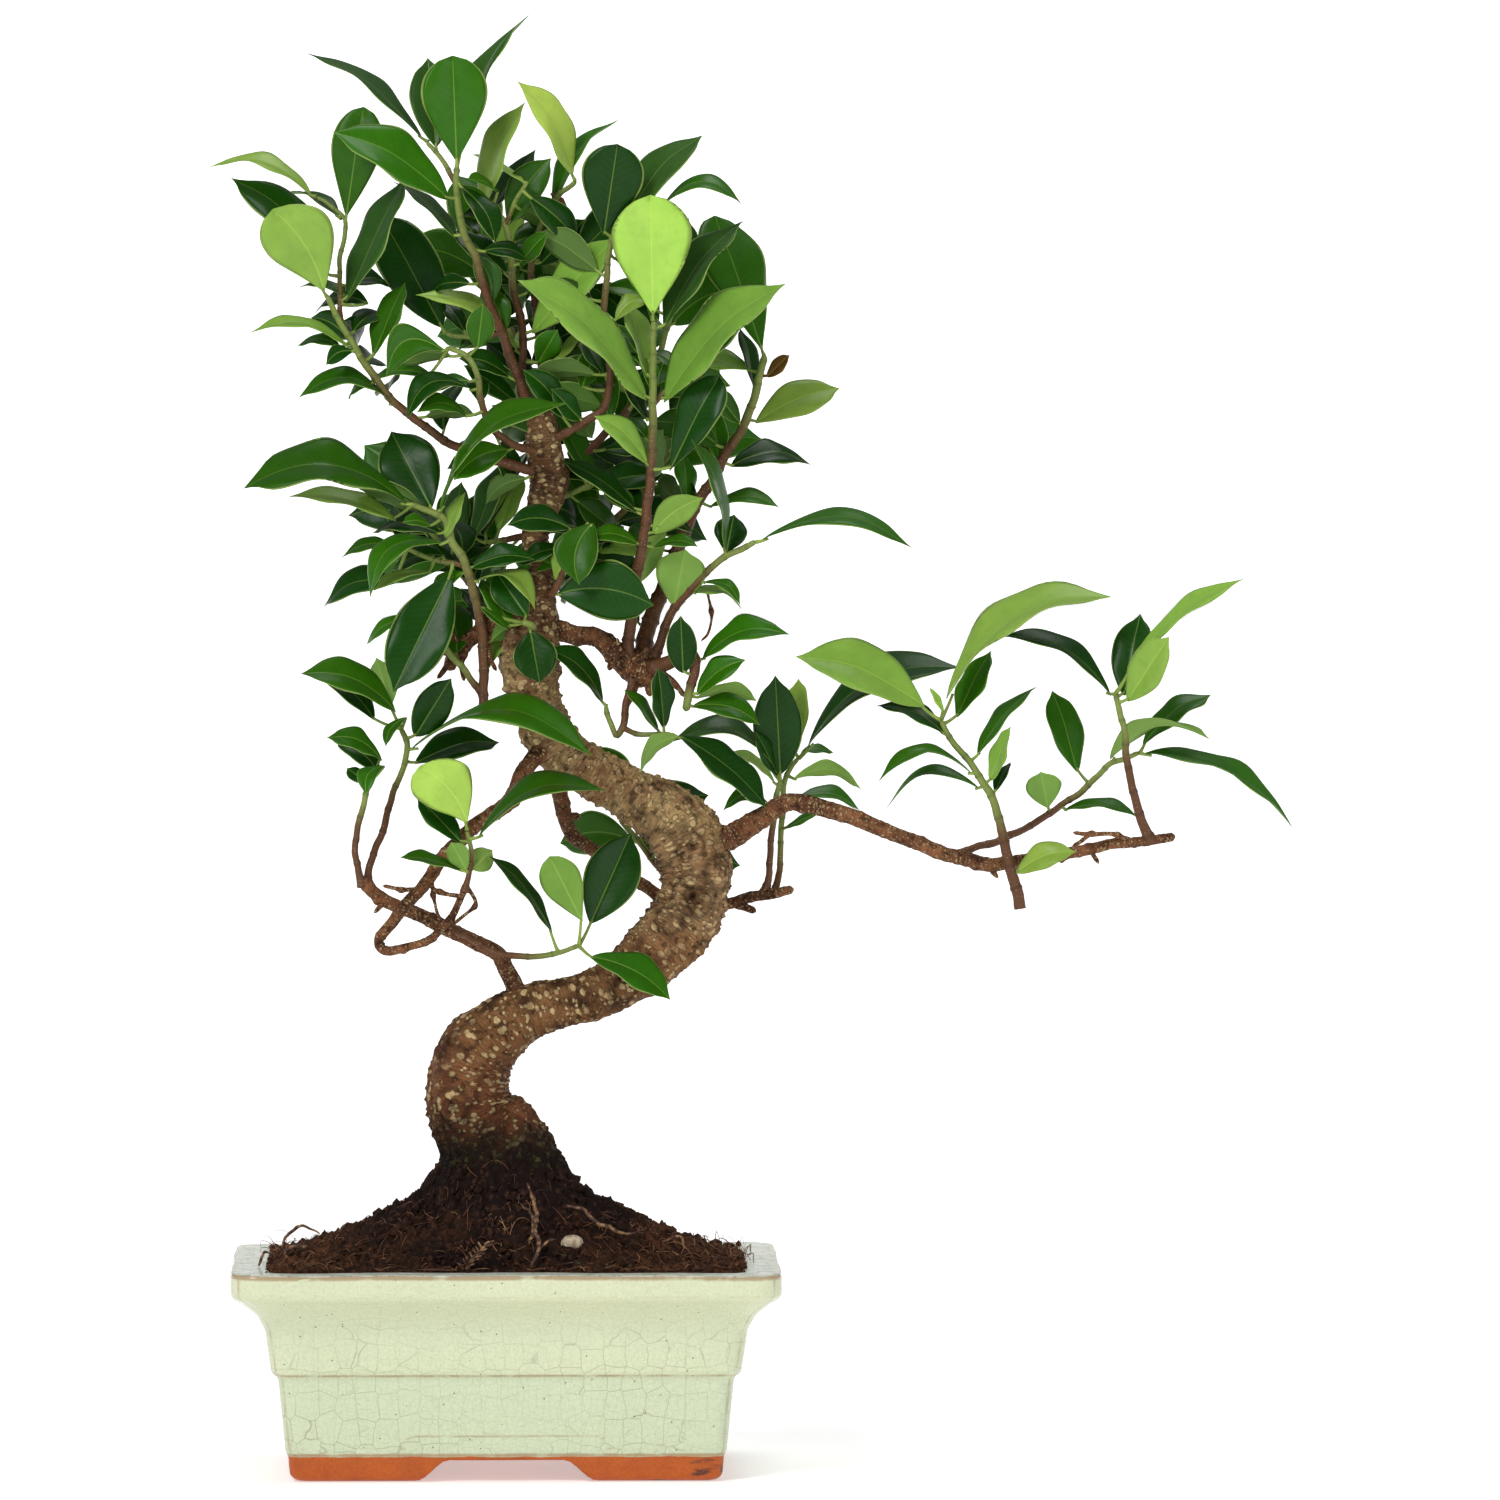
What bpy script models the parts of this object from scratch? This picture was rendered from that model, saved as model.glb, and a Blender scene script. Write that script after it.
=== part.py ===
"""A ficus bonsai with an S-curved trunk, growing in a glazed rectangular pot.

The pot, the soil, the trunk, each branch and each leafy shoot is an object of its own.
The tree is laid out in millimetres from the middle of the pot's footprint, with z from
the bench up, for a tree 460 mm tall above the rim.  TREE_HEIGHT then scales it.
"""
import math

import bmesh
import bpy
from mathutils import Vector
from mathutils.bvhtree import BVHTree

# Driving dimensions, in metres.
POT_WIDTH = 0.200       # over the rim, along X
POT_DEPTH = 0.146       # over the rim, along Y
POT_HEIGHT = 0.077
CORNER_RADIUS = 0.010   # of the pot's upright corners
RIM_WIDTH = 0.014       # flat top of the rim
WALL = 0.0075           # clay thickness below the rim
FLOOR = 0.006           # clay thickness under the soil
FOOT_HEIGHT = 0.0088    # unglazed foot
LEG_WIDTH = 0.014       # of each L-shaped foot, seen from below
ARCH_WIDTH = 0.066      # opening between the feet, front and back
SIDE_ARCH_WIDTH = 0.040
ARCH_RISE = 0.0079
HOLE_DIAMETER = 0.018
HOLE_SPACING = 0.076
MESH_SIZE = 0.030       # plastic mesh over a drainage hole
MESH_THICKNESS = 0.0012
MOUND_HEIGHT = 0.038    # soil at the trunk, above the rim
TREE_HEIGHT = 0.460     # top leaf above the rim
TRUNK_GIRTH = 1.0       # multiplies the trunk's radii
BRANCH_GIRTH = 1.0      # multiplies the branches' radii
TWIG_GIRTH = 1.0        # multiplies the twigs' radii
LEAF_THICKNESS = 0.0009
GAP = 0.0003            # clearance between two objects that touch

DRAWN_RIM = 77.0        # rim height and tree height that the layout is drawn for
DRAWN_TREE = 460.0

# Trunk and branches: (x, y, z, radius) along the wood, in millimetres.
TRUNK = [(-1, 0, 62, 8), (-1, 0, 84, 16), (-1, 0, 105, 20), (-6, -1, 120, 19), (-12, -2, 130, 16),
         (-14, -3, 140, 15), (-11, -4, 152, 14), (-3, -5, 161, 12), (7, -5, 167, 10.5),
         (20, -5, 171, 8.7), (32, -4, 174, 9), (43, -3, 180, 10), (54, -2, 189, 12),
         (64, 0, 200, 13), (69, 1, 211, 12.5), (70, 2, 221, 13.5), (66, 3, 232, 13),
         (59, 4, 240, 11.5), (50, 5, 245, 10.5), (40, 5, 251, 9.5), (30, 4, 256, 9),
         (22, 3, 262, 9), (15, 2, 270, 9.5), (12, 1, 280, 9), (9.5, 0, 290, 10.5),
         (9, 0, 300, 11), (12, 0, 315, 7), (13, 0, 330, 4.5), (11, 1, 342, 5), (14, 2, 352, 6),
         (16, 2, 362, 7), (14, 2, 375, 6.5), (13, 2, 389, 5)]
ROOTS = [
    [(4, -6, 112, 10), (14, -16, 99, 8), (22, -25, 87, 5), (28, -32, 76, 2)],
    [(6, 4, 115, 10), (17, 8, 102, 8), (29, 11, 89, 5), (40, 14, 77, 2)],
    [(-6, -6, 112, 10), (-16, -18, 98, 7), (-24, -26, 86, 4.5), (-30, -32, 76, 2)],
    [(-8, 4, 114, 10), (-22, 8, 101, 7.5), (-34, 10, 88, 5), (-44, 12, 77, 2)],
    [(0, 8, 112, 10), (4, 20, 98, 7), (8, 30, 86, 4.5), (10, 38, 76, 2)],
]
BRANCHES = {
    "branch_right": ("trunk", [
        [(68, 2, 226, 5), (78, 1, 230, 4.8), (88, 0, 235, 4.2), (102, -2, 244, 3.4),
         (110, -3, 244, 3.3), (120, -4, 241, 3.1), (130, -5, 238, 3), (140, -6, 234, 2.8),
         (150, -6, 230, 2.7), (160, -7, 226, 2.7), (175, -8, 222, 2.6), (185, -8, 222.5, 2.4),
         (205, -9, 226, 2.2), (225, -9, 229.5, 1.9), (245, -10, 232, 1.6)],
        [(231, -9, 230, 0.9), (222, -13, 233, 0.8), (213, -15, 233.5, 0.8), (207, -16, 234, 0.7)],
        [(214, -15, 233.5, 0.8), (207, -18, 229, 0.7)]]),
    "branch_back": ("trunk", [
        [(24, 5, 257, 3.2), (20, 14, 248, 3), (22, 18, 238, 2.8), (25, 20, 231, 2.6),
         (30, 22, 227, 2.5), (38, 23, 222, 2.4), (45, 24, 216, 2.4), (52, 25, 212, 2.3),
         (60, 25, 208, 2.3), (72, 25, 205.5, 2.2), (82, 24, 206, 2.1), (92, 22, 208.5, 2),
         (106, 20, 211, 1.7)],
        [(84, 24, 206, 1.6), (92, 22, 203, 1.4)], [(22, 18, 238, 1.8), (28, 17, 238.5, 1.3)]]),
    "branch_lower_left": ("trunk", [
        [(6, -4, 169, 3.4), (3, -4, 178, 3.2), (0, -4, 184, 3), (-3, -5, 189, 2.9),
         (-10, -6, 193, 2.8), (-20, -8, 198, 2.7), (-30, -10, 203, 2.6), (-38, -12, 206.5, 2.5),
         (-45, -14, 210, 2.4), (-50, -15, 214, 2.3), (-53, -15, 217, 2)]]),
    "branch_front_left": ("trunk", [
        [(16, 0, 268, 3.2), (7, -9, 256, 3.1), (2, -12, 246, 3), (-5, -14, 241, 2.8),
         (-12, -16, 236, 2.7), (-20, -18, 228, 2.6), (-27, -20, 219, 2.4), (-32, -22, 213, 2.3),
         (-38, -24, 206, 2.2), (-42, -26, 201, 2.1), (-46, -28, 196, 1.9), (-45, -29, 192.5, 1.8),
         (-40, -30, 192, 1.6), (-30, -30, 195, 1.5), (-22, -29, 201, 1.4), (-17, -28, 209, 1.3),
         (-14, -27, 216, 1.2)],
        [(-31, -22, 214, 0.9), (-36, -26, 214, 0.8), (-45, -29, 215, 0.7)],
        [(-28, -20.5, 217, 0.9), (-25, -25, 213, 0.8), (-16, -28, 212, 0.8)]]),
    "branch_crown_right": ("trunk", [
        [(10, 0, 304, 4), (18, 2, 307, 4), (25, 3, 305.5, 3.6), (33, 4, 305, 3.6), (38, 4, 302, 4),
         (42, 4, 298, 5), (48, 4, 294, 6.5), (54, 4, 292, 6), (59, 4, 291, 3)]]),
    "branch_left": ("trunk", [
        [(9, 0, 318, 3.2), (4, -1, 316, 3), (-5, -2, 311, 3), (-12, -2, 305, 3),
         (-18, -2, 299, 2.8), (-21, -2, 293, 2.2)],
        [(-18, -2, 299, 1.6), (-23, -2, 300, 1.3), (-27, -2, 303, 1.1)]]),
}

# Leafy shoots: what each grows from, its twigs as (x, y, z, radius), and its leaves as
# (x, z of the blade's foot, x, z of its tip, width seen from the front, tip's shift in y,
# arch, 1 where the front shows the underside).
SHOOTS = {
    "shoot_top_leader": ("trunk", [
        [(12, 1, 385, 2.3), (8, -1, 392, 2), (3, -3, 405, 1.8), (-2, -4, 418, 1.7),
         (-7, -5, 430, 1.6), (-10, -6, 442, 1.5), (-15, -6, 453, 1.4), (-17.5, -6, 465, 1.3),
         (-17.5, -7, 477, 1.1)],
        [(-17.5, -6, 470, 1), (-23, -2, 480, 0.9), (-28, 0, 486, 0.8)],
        [(-2, -4, 416, 1), (-11, 6, 414, 0.9), (-22, 12, 416, 0.8)]], [
        (-17.5, 478, -19, 517, 24.5, -5, 0, 0), (-20.5, 465, -61, 491, 16, -12, 3, 0),
        (-30, 487, -70, 521, 5.5, 12, 3, 0), (-24, 483, -28, 517, 16, 12, 0, 0),
        (-17, 480, 6, 534, 10, 8, 4, 0), (-18, 451, -40, 472, 5, 15, 2, 0),
        (-23, 418, -46, 461, 22, 8, 0, 0)]),
    "shoot_top_centre": ("trunk", [
        [(11, 3, 384, 1.8), (6, 7, 393, 1.7), (6, 8, 400, 1.6), (7, 9, 410, 1.5), (6, 10, 420, 1.5),
         (3, 10, 432, 1.4), (2, 9, 445, 1.3), (0, 8, 456, 1.2), (-5, 8, 462, 1)],
        [(0, 8, 455, 0.9), (4, 4, 464, 0.8), (8, 0, 471, 0.7)]], [
        (-8, 462, 5, 501, 11, -4, 2, 0), (8, 472, -11, 483, 2.5, 2, 0, 0),
        (-2, 468, -12, 474, 3, -4, 0, 0), (-9, 456, 11, 483.5, 6, 14, 0, 0),
        (2, 455, 17, 480, 13, 8, 2, 0), (5, 441, 15, 453, 7, -8, 0, 0),
        (10, 416, 39, 452, 15, -12, 0, 0), (12, 414, 22, 438, 7, 12, 0, 0),
        (6, 408, -31.5, 431.5, 6, -16, 6, 0), (11, 399, -7, 413, 8, 10, 0, 0),
        (12, 405, 19, 417, 10, -10, 0, 0), (18, 405, 32, 419, 4, 6, 0, 0)]),
    "shoot_top_back": ("trunk", [
        [(14, 4, 384, 1.6), (14, 13, 394, 1.5), (13, 18, 410, 1.4), (11, 20, 425, 1.3),
         (10, 20, 440, 1.2), (13, 18, 455, 1.1), (19, 15, 465, 1), (26, 12, 472, 0.9)]], [
        (27, 473, 7, 509, 11, -6, 3, 0), (15, 462, 39, 496, 7, 8, 3, 0),
        (13, 441, 29, 458, 9, -10, 0, 0), (24, 440, 53, 466, 14, 10, 2, 0),
        (17, 467, 25, 459, 3, 6, 0, 0)]),
    "shoot_top_right": ("trunk", [
        [(16, 2, 376, 1.8), (23, -2, 380, 1.6), (30, -4, 384, 1.5), (37, -6, 391, 1.4),
         (38, -7, 405, 1.3), (36, -8, 420, 1.2), (37, -9, 432, 1.2), (38, -9, 445, 1.1),
         (41, -9, 454, 1), (50, -8, 460, 0.9), (56, -8, 463, 0.8)]], [
        (36, 452, 41, 485, 23, -6, 0, 0), (42, 455, 70, 490.5, 12, 8, 2, 0),
        (56, 464, 86, 464, 6, -8, 8, 0), (28, 396, 34, 412, 9, 10, 0, 0),
        (31, 420, 20, 424, 5, -8, 2, 0), (36, 399, 28, 415, 6, 12, 0, 0),
        (29, 383, 17, 396, 8, -12, 0, 0)]),
    "shoot_left_long": ("trunk", [
        [(14, 1, 365, 2), (3, -4, 368, 1.9), (-3, -6, 370, 1.8), (-10, -7, 372, 1.7),
         (-18, -8, 375, 1.6), (-25, -9, 379, 1.6), (-33, -11, 385, 1.5), (-40, -12, 391, 1.5),
         (-45, -13, 397, 1.4), (-50, -14, 404, 1.4), (-55, -15, 412, 1.3), (-60, -16, 420, 1.2),
         (-65, -17, 430, 1)],
        [(-60, -16, 420, 1), (-60, -10, 432, 0.9), (-60, -4, 445, 0.9), (-58, 0, 456, 0.8),
         (-64, 3, 463, 0.7), (-69, 4, 466, 0.7)]], [
        (-65, 431, -84, 461, 26, -10, 3, 0), (-66, 437, -98, 475, 15, 10, 4, 0),
        (-58, 428, -37, 474, 12, 10, 0, 0), (-57.5, 457, -52, 498.5, 18.5, -4, 0, 0),
        (-70, 466, -107.5, 478.5, 5, 6, 6, 0), (-60, 458, -79, 469, 4, 14, 2, 0),
        (-58, 430, -75, 434, 3, 6, 2, 0), (-55, 414, -71, 422, 9, 12, 2, 0),
        (-50, 427, -70, 424, 6, 16, 4, 0), (-54, 409, -92, 419, 4, -8, 5, 0),
        (-60, 411, -76, 411.5, 4, 10, 3, 0), (-55, 410, -65, 405, 6, -8, 2, 0),
        (-40, 389, -75, 394, 5, -6, 8, 0), (-50, 397, -57, 392, 3, 8, 2, 0),
        (-48, 408, -37, 435, 9, 10, 0, 0)]),
    "shoot_left_front": ("trunk", [
        [(14, 0, 372, 1.6), (0, -11, 377, 1.4), (-6, -14, 384, 1.3), (-9, -16, 393, 1.2),
         (-10, -17, 401, 1.1), (-14, -18, 408, 1), (-21, -19, 411, 0.9)]], [
        (-21, 410, -43, 401, 13, -8, 9, 0), (-27, 401, -52, 398, 4, 8, 3, 0),
        (-12, 396, -36, 386, 8, -8, 8, 0), (-14, 386, -32, 388, 6, -12, 4, 0),
        (-10, 411, -8, 427, 10, -6, 0, 0)]),
    "shoot_left_inner": ("branch_left", [
        [(-9, -2, 308, 1.8), (-9, -9, 310, 1.8)],
        [(-8, -9, 279, 1.8), (-8, -9, 290, 1.8), (-8, -9, 300, 1.8), (-9, -9, 310, 1.8),
         (-11, -9, 320, 1.7), (-12, -9, 326, 1.7), (-15, -10, 333, 1.6), (-19, -11, 340, 1.5),
         (-21, -11, 346, 1.5), (-24, -12, 350, 1.4), (-34, -13, 354, 1)],
        [(-9, -9, 285, 1.3), (-14, -11, 292, 1.2), (-20, -12, 299, 1.1), (-24, -12, 305, 1)],
        [(-14, -10, 331, 1), (-26, -6, 334, 0.9), (-38, -4, 338, 0.8)]], [
        (-35, 355, -95, 361, 14, -8, 11, 0), (-40, 348, -79, 357, 6, 6, 3, 0),
        (-26, 351, -42, 381, 22, 12, 0, 0), (-25, 351, 19, 394, 5, -14, 9, 0),
        (-22, 342, -16, 358.5, 5, -6, 0, 0), (-27, 346, -37, 348, 4, -8, 1, 0),
        (-24, 343, -49, 345, 7, 14, 3, 0), (-23, 340, -50, 322, 9, -12, 9, 0),
        (-42, 339, -60, 334.5, 5, 6, 2, 0), (-22, 335, -42, 330, 6, 12, 2, 0),
        (-40, 325, -67, 317, 10, 14, 4, 0), (-27, 329, -48, 324, 3, -8, 2, 0),
        (-20, 328, -41, 286, 22, -12, 0, 0), (-36, 312, -51, 302.5, 4, 10, 2, 0),
        (-14, 330, -29, 316, 6, 10, 2, 0), (-13, 326, 11, 317, 5, -14, 7, 0),
        (-13, 331, 10, 335, 8, -6, 2, 0)]),
    "shoot_trunk_front": ("trunk", [
        [(10, -2, 306, 1.7), (10, -14, 309, 1.4), (6, -17, 311, 1.2)]], [
        (8, 313, -4, 330, 13, 8, 0, 0), (2, 309, -8, 328, 8, 4, 0, 0),
        (-9, 317, 1, 309, 3, -6, 0, 0), (9, 310, 12.5, 289, 16, -5, 0, 0)]),
    "shoot_centre": ("trunk", [
        [(13, 0, 322, 1.6), (17, -8, 321, 1.4), (21, -11, 328, 1.2), (24, -12, 338, 1.1),
         (30, -13, 347, 1)]], [
        (18, 320, 54, 317, 22, -8, 4, 0), (32, 347, 27, 325, 16, -8, 4, 0),
        (24, 345, 1, 347, 10, -8, 3, 0), (18, 324, 22, 341, 7, -8, 0, 0)]),
    "shoot_inner": ("trunk", [
        [(11, 1, 343, 1.6), (3, 8, 341, 1.2), (-7, 11, 339, 1)],
        [(14, 2, 353, 1.5), (23, 9, 357, 1.2), (32, 11, 360, 1)]], [
        (-12, 340, 1, 372, 9, 8, 0, 0), (-8, 342, 10, 378, 9, 14, 0, 0),
        (34, 360, 15, 392, 8, 6, 0, 0), (30, 362, 8, 368, 7, 12, 2, 0)]),
    "shoot_right_upright": ("branch_crown_right", [
        [(46, 3, 293, 2.5), (45, 1, 301, 2.3), (46, 0, 310, 2.2), (47, -2, 320, 2.1),
         (49, -4, 332, 2), (51, -5, 342, 1.9), (52, -6, 352, 1.8), (53, -6, 362, 1.7),
         (54, -6, 375, 1.6), (54, -6, 388, 1.5), (54, -7, 400, 1.4), (54, -8, 412, 1.3),
         (54, -9, 421, 1.1)],
        [(54, -6, 390, 1), (61, -2, 397, 0.9), (69, 1, 402, 0.8)]], [
        (54, 421, 53, 466, 29.5, -8, 0, 0), (52, 392, 8, 438, 14, -14, 3, 0),
        (58, 391, 100, 436, 17, -12, 4, 0), (58, 418, 86, 458, 12, 8, 3, 0),
        (52, 400, 45, 431, 7, 12, 0, 0), (52, 384, 38, 411, 6, 12, 0, 0),
        (70, 403, 92, 434, 14, 10, 2, 0), (50, 339, 31, 342.5, 6, -8, 2, 0),
        (49, 350, 21, 370, 7, 6, 2, 0), (52, 367, 34, 387, 9, -8, 2, 0),
        (60, 366, 77, 401, 16, -4, 0, 0), (54, 343, 72, 356, 11, -8, 2, 0),
        (55, 346, 69, 344, 5, -12, 2, 0), (54, 338, 70, 339, 4, -10, 2, 0),
        (47, 352, 36, 361, 7, 10, 0, 0)]),
    "shoot_right_tall": ("branch_crown_right", [
        [(50, 6, 295, 3.4), (51, 9, 303, 3.2), (54, 12, 312, 3), (58, 14, 322, 2.8),
         (62, 16, 333, 2.5), (66, 17, 343, 2.3), (70, 18, 352, 2.1), (76, 18, 362, 1.9),
         (82, 17, 373, 1.8), (87, 16, 381, 1.7), (90, 14, 388, 1.6), (93, 12, 398, 1.5),
         (95, 10, 408, 1.2)]], [
        (95, 409, 78, 459.5, 22, -6, 0, 0), (79, 367, 76, 389, 9, 8, 0, 0),
        (92, 383, 123, 396, 13, 6, 2, 0), (83, 367, 113, 369, 9, 10, 4, 0),
        (75, 352, 100, 354, 5, -8, 3, 0), (86, 382, 76, 396, 7, -8, 0, 0),
        (91, 394, 88, 418, 6, 14, 0, 0), (96, 400, 104, 408, 5, -6, 0, 0),
        (67, 352, 66, 374, 7, 12, 0, 0)]),
    "shoot_right_arching": ("branch_crown_right", [
        [(54, 3, 295, 2.1), (57, 2, 303, 1.8), (59, 1, 310, 1.7), (63, 0, 317, 1.6),
         (68, -1, 323, 1.5), (74, -3, 329, 1.4), (80, -4, 334, 1.3), (86, -5, 337, 1.2),
         (92, -6, 340, 1)]], [
        (94, 341, 148, 342, 5, -10, 8, 0), (80, 335, 84, 350, 12, 8, 0, 0),
        (80, 336, 70, 378, 5, -10, 3, 0), (62, 314, 66, 338, 18, -8, 0, 1),
        (72, 325, 86, 318, 4, -6, 3, 0), (69, 321, 87, 316.5, 3, 6, 3, 0)]),
    "shoot_right_hooked": ("branch_crown_right", [
        [(55, 0, 293, 2.8), (58, -3, 295, 2.7), (62, -5, 297, 2.6), (66, -5, 299, 2.4),
         (69, -5, 298, 2.2), (69.5, -5, 293, 2), (68, -5, 286, 1.7), (66, -5, 278, 1.3)]], [
        (65, 292, 64, 313, 11, -10, 0, 0), (72, 297, 103, 308, 8, -6, 5, 0),
        (70, 284, 87, 297.5, 8, -8, 2, 0), (70, 283, 92, 282, 6, 8, 3, 1),
        (68, 280, 93, 274, 8, -6, 3, 0)]),
    "shoot_hanging": ("branch_crown_right", [
        [(47, 2, 291, 1.9), (46, -1, 286, 1.7), (44, -3, 279, 1.4), (43, -4, 272, 1.3),
         (40.5, -5, 269, 1.1), (38, -5, 275, 1), (37, -5, 280, 0.9)],
        [(43, -4, 272, 1.1), (48, -5, 269.5, 1), (53, -6, 269.5, 0.9), (61, -7, 269.5, 0.8)]], [
        (37, 281, 16, 302, 8, -12, 3, 0), (57, 271, 45, 287, 4, -8, 0, 0),
        (58, 272, 56, 294, 8, -8, 0, 0), (63, 269, 48, 257, 6, -10, 3, 1),
        (64, 269, 96, 243, 11, 4, 2, 0)]),
    "shoot_mid_right": ("branch_back", [
        [(95, 22, 209, 1.6), (97, 20, 216, 1.3), (97, 18, 222, 1.2), (98, 16, 232, 1.2),
         (99, 14, 240, 1.1), (101, 12, 252, 1)],
        [(99, 21.5, 210, 1.4), (101, 25, 218, 1.2), (101, 25, 228, 1.1), (102, 22, 240, 1.1),
         (103, 17, 252, 1), (108, 15, 260, 0.8)]], [
        (100, 254, 61, 268, 6, -8, 10, 0), (97, 243, 80, 242, 4, -6, 4, 0),
        (101, 254, 99, 290.5, 18, -6, 0, 0), (106, 262, 107, 289, 10, 10, 0, 0),
        (100, 252, 92, 270, 6, -10, 0, 0), (99, 250, 82, 262, 4, 8, 2, 1),
        (111, 264, 166, 295, 10, -8, 10, 0), (109, 262, 121, 262, 3, 6, 1, 0),
        (106, 252, 131, 250, 6, -6, 5, 1), (108, 245, 131, 241, 4, 8, 3, 0),
        (101, 233, 115, 240, 2.5, -8, 0, 0)]),
    "shoot_far_right_upright": ("branch_right", [
        [(185, -8, 222, 1.9), (184.5, -15, 222, 1.9)],
        [(188, -15, 206, 2.2), (187, -15, 212, 2.1), (184, -15, 222, 2), (182, -15, 232, 1.8),
         (180, -15, 240, 1.6), (177, -15, 248, 1.5), (172, -14, 256, 1.3), (167, -13, 263, 1.2),
         (162, -12, 269, 1.1), (159, -11, 275, 0.9)]], [
        (153, 280, 107.5, 301, 17, -8, 3, 0), (161, 283, 220, 322, 10, -6, 11, 0),
        (165, 276, 177, 300.5, 9, 8, 0, 0), (160, 278, 155.5, 287, 2.5, 2, 0, 0),
        (161, 269, 136, 280, 6, 10, 3, 0), (171, 255, 136, 254, 3.5, -8, 9, 0),
        (173, 250, 139, 245.5, 3, 8, 8, 0), (172.5, 262, 194, 287, 5, 8, 2, 0),
        (177, 253, 184, 273, 6, -6, 0, 0), (179, 249, 184, 260, 4, 8, 0, 0),
        (186, 219, 207, 228, 9, -8, 2, 0)]),
    "shoot_far_right_rising": ("branch_right", [
        [(164, -7, 225, 1.6), (170, -3, 227, 1.4), (180, 0, 230, 1.4), (190, 4, 234, 1.3),
         (196, 6, 238, 1.3), (203, 7, 242, 1.2), (212, 8, 248, 1.2), (218, 8, 254, 1.1),
         (222, 8, 258, 1.1), (228, 8, 260, 1), (233, 8, 262, 0.9)]], [
        (210, 255, 202, 285, 12, 6, 0, 0), (199, 242, 196, 256, 13, -6, 0, 1),
        (205, 241, 232, 239, 4, -8, 3, 0), (234, 265, 258, 285, 7, 6, 2, 0),
        (222, 260, 257, 269, 6, -8, 8, 1), (235, 262, 289, 236, 6, -4, 7, 0)]),
    "shoot_far_right_end": ("branch_right", [
        [(236, -9.5, 230, 2), (232, -13, 240, 1.7), (229, -14, 250, 1.5), (227, -14, 262, 1.4),
         (226, -14, 272, 1.2), (224, -14, 280, 1.1), (223, -14, 285, 0.9)]], [
        (228, 296, 268, 328, 4.5, -4, 3, 0), (226, 284, 232, 314, 14, 10, 0, 0),
        (227, 282, 241, 306, 13, -8, 0, 0), (221, 284, 180, 306, 6.5, -6, 7, 0)]),
    "shoot_low_left_outer": ("branch_lower_left", [
        [(-52, -15, 215, 1.5), (-54, -17, 221, 1.3), (-55, -18, 228, 1.2), (-53, -19, 238, 1.2),
         (-51, -20, 248, 1.1), (-49, -20, 254, 0.9)]], [
        (-45, 261, -64, 270.5, 7, -8, 3, 0), (-46, 256, -62, 268, 8, 10, 2, 0),
        (-44, 259, -51, 250, 6, -12, 3, 0), (-51, 252, -58, 258, 5, 8, 0, 0)]),
    "shoot_low_left_inner": ("branch_lower_left", [
        [(-49, -14.5, 213, 1.5), (-50, -12, 219, 1.4), (-48, -10, 226, 1.3), (-44, -8, 237, 1.3),
         (-41, -7, 248, 1.2), (-38, -6, 256, 1.1), (-36, -6, 265, 1.1), (-38, -6, 272, 1)]], [
        (-40, 278, -74, 293, 11, -8, 5, 0), (-48, 275, -67, 292, 8, 8, 2, 0),
        (-42, 280, -47, 297, 10, 8, 0, 1), (-33, 269, -20, 290, 13, -8, 0, 0),
        (-35, 264, 30, 269, 7, -16, 13, 0), (-33, 259, -2, 268, 11, 12, 2, 0),
        (-36, 276, -44, 266, 4, -6, 2, 0)]),
    "shoot_front_left": ("branch_front_left", [
        [(-15, -27.5, 213, 1.2), (-13.5, -27, 220, 1), (-12.5, -27, 228, 0.9), (-14, -27, 236, 0.8)]], [
        (-14, 238, -31, 259, 22, -8, 3, 0), (-16, 231, -32, 247.5, 9, 8, 0, 0),
        (-10, 233, 35, 253, 7, -8, 8, 0), (-14, 220, -20, 232, 8, -8, 0, 1),
        (-12, 220, -5, 228, 9, 6, 0, 1), (-16, 221, -38, 227, 3.5, -8, 1, 0)]),
    "shoot_low_front": ("branch_lower_left", [
        [(-19, -8, 198, 1.4), (-16, -14, 197, 1.3), (-12, -17, 195, 1.2), (-5, -18, 191, 1.2),
         (2, -19, 189, 1.2), (10, -19, 189, 1.1), (17, -19, 190, 1), (27, -19, 193, 0.8)]], [
        (17, 198, -5, 227, 5, -4, 2, 0), (28, 202, 16, 226, 15, -6, 0, 0),
        (31, 201, 46, 234, 20, 6, 0, 0), (31, 189, 60, 174, 11, -6, 3, 0)]),
    "shoot_back_left": ("trunk", [
        [(10, 3, 300, 2.2), (2, 20, 306, 1.8), (-8, 32, 318, 1.5), (-20, 40, 332, 1.2),
         (-30, 44, 346, 1)]], [
        (-30, 350, -52, 374, 20, 10, 3, 0), (-24, 342, -58, 348, 16, 4, 5, 0),
        (-20, 330, -50, 326, 17, 12, 4, 0), (-10, 324, -34, 352, 15, 18, 3, 0),
        (-8, 318, -36, 306, 16, 6, 4, 0), (0, 310, 22, 330, 16, 16, 3, 0),
        (-14, 328, -2, 358, 17, 10, 3, 0)]),
    "shoot_back_right": ("trunk", [
        [(14, 4, 328, 2), (24, 22, 334, 1.7), (38, 34, 345, 1.4), (52, 42, 358, 1.2),
         (62, 46, 372, 1)]], [
        (64, 376, 80, 404, 18, 8, 3, 0), (58, 366, 96, 376, 17, 4, 5, 0),
        (48, 356, 44, 386, 17, 14, 3, 0), (40, 345, 76, 340, 15, 12, 5, 0),
        (30, 338, 20, 366, 16, 18, 3, 0), (24, 332, 50, 322, 16, 14, 4, 0),
        (54, 362, 66, 342, 15, 16, 3, 0)]),
    "shoot_back_top": ("trunk", [
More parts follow.
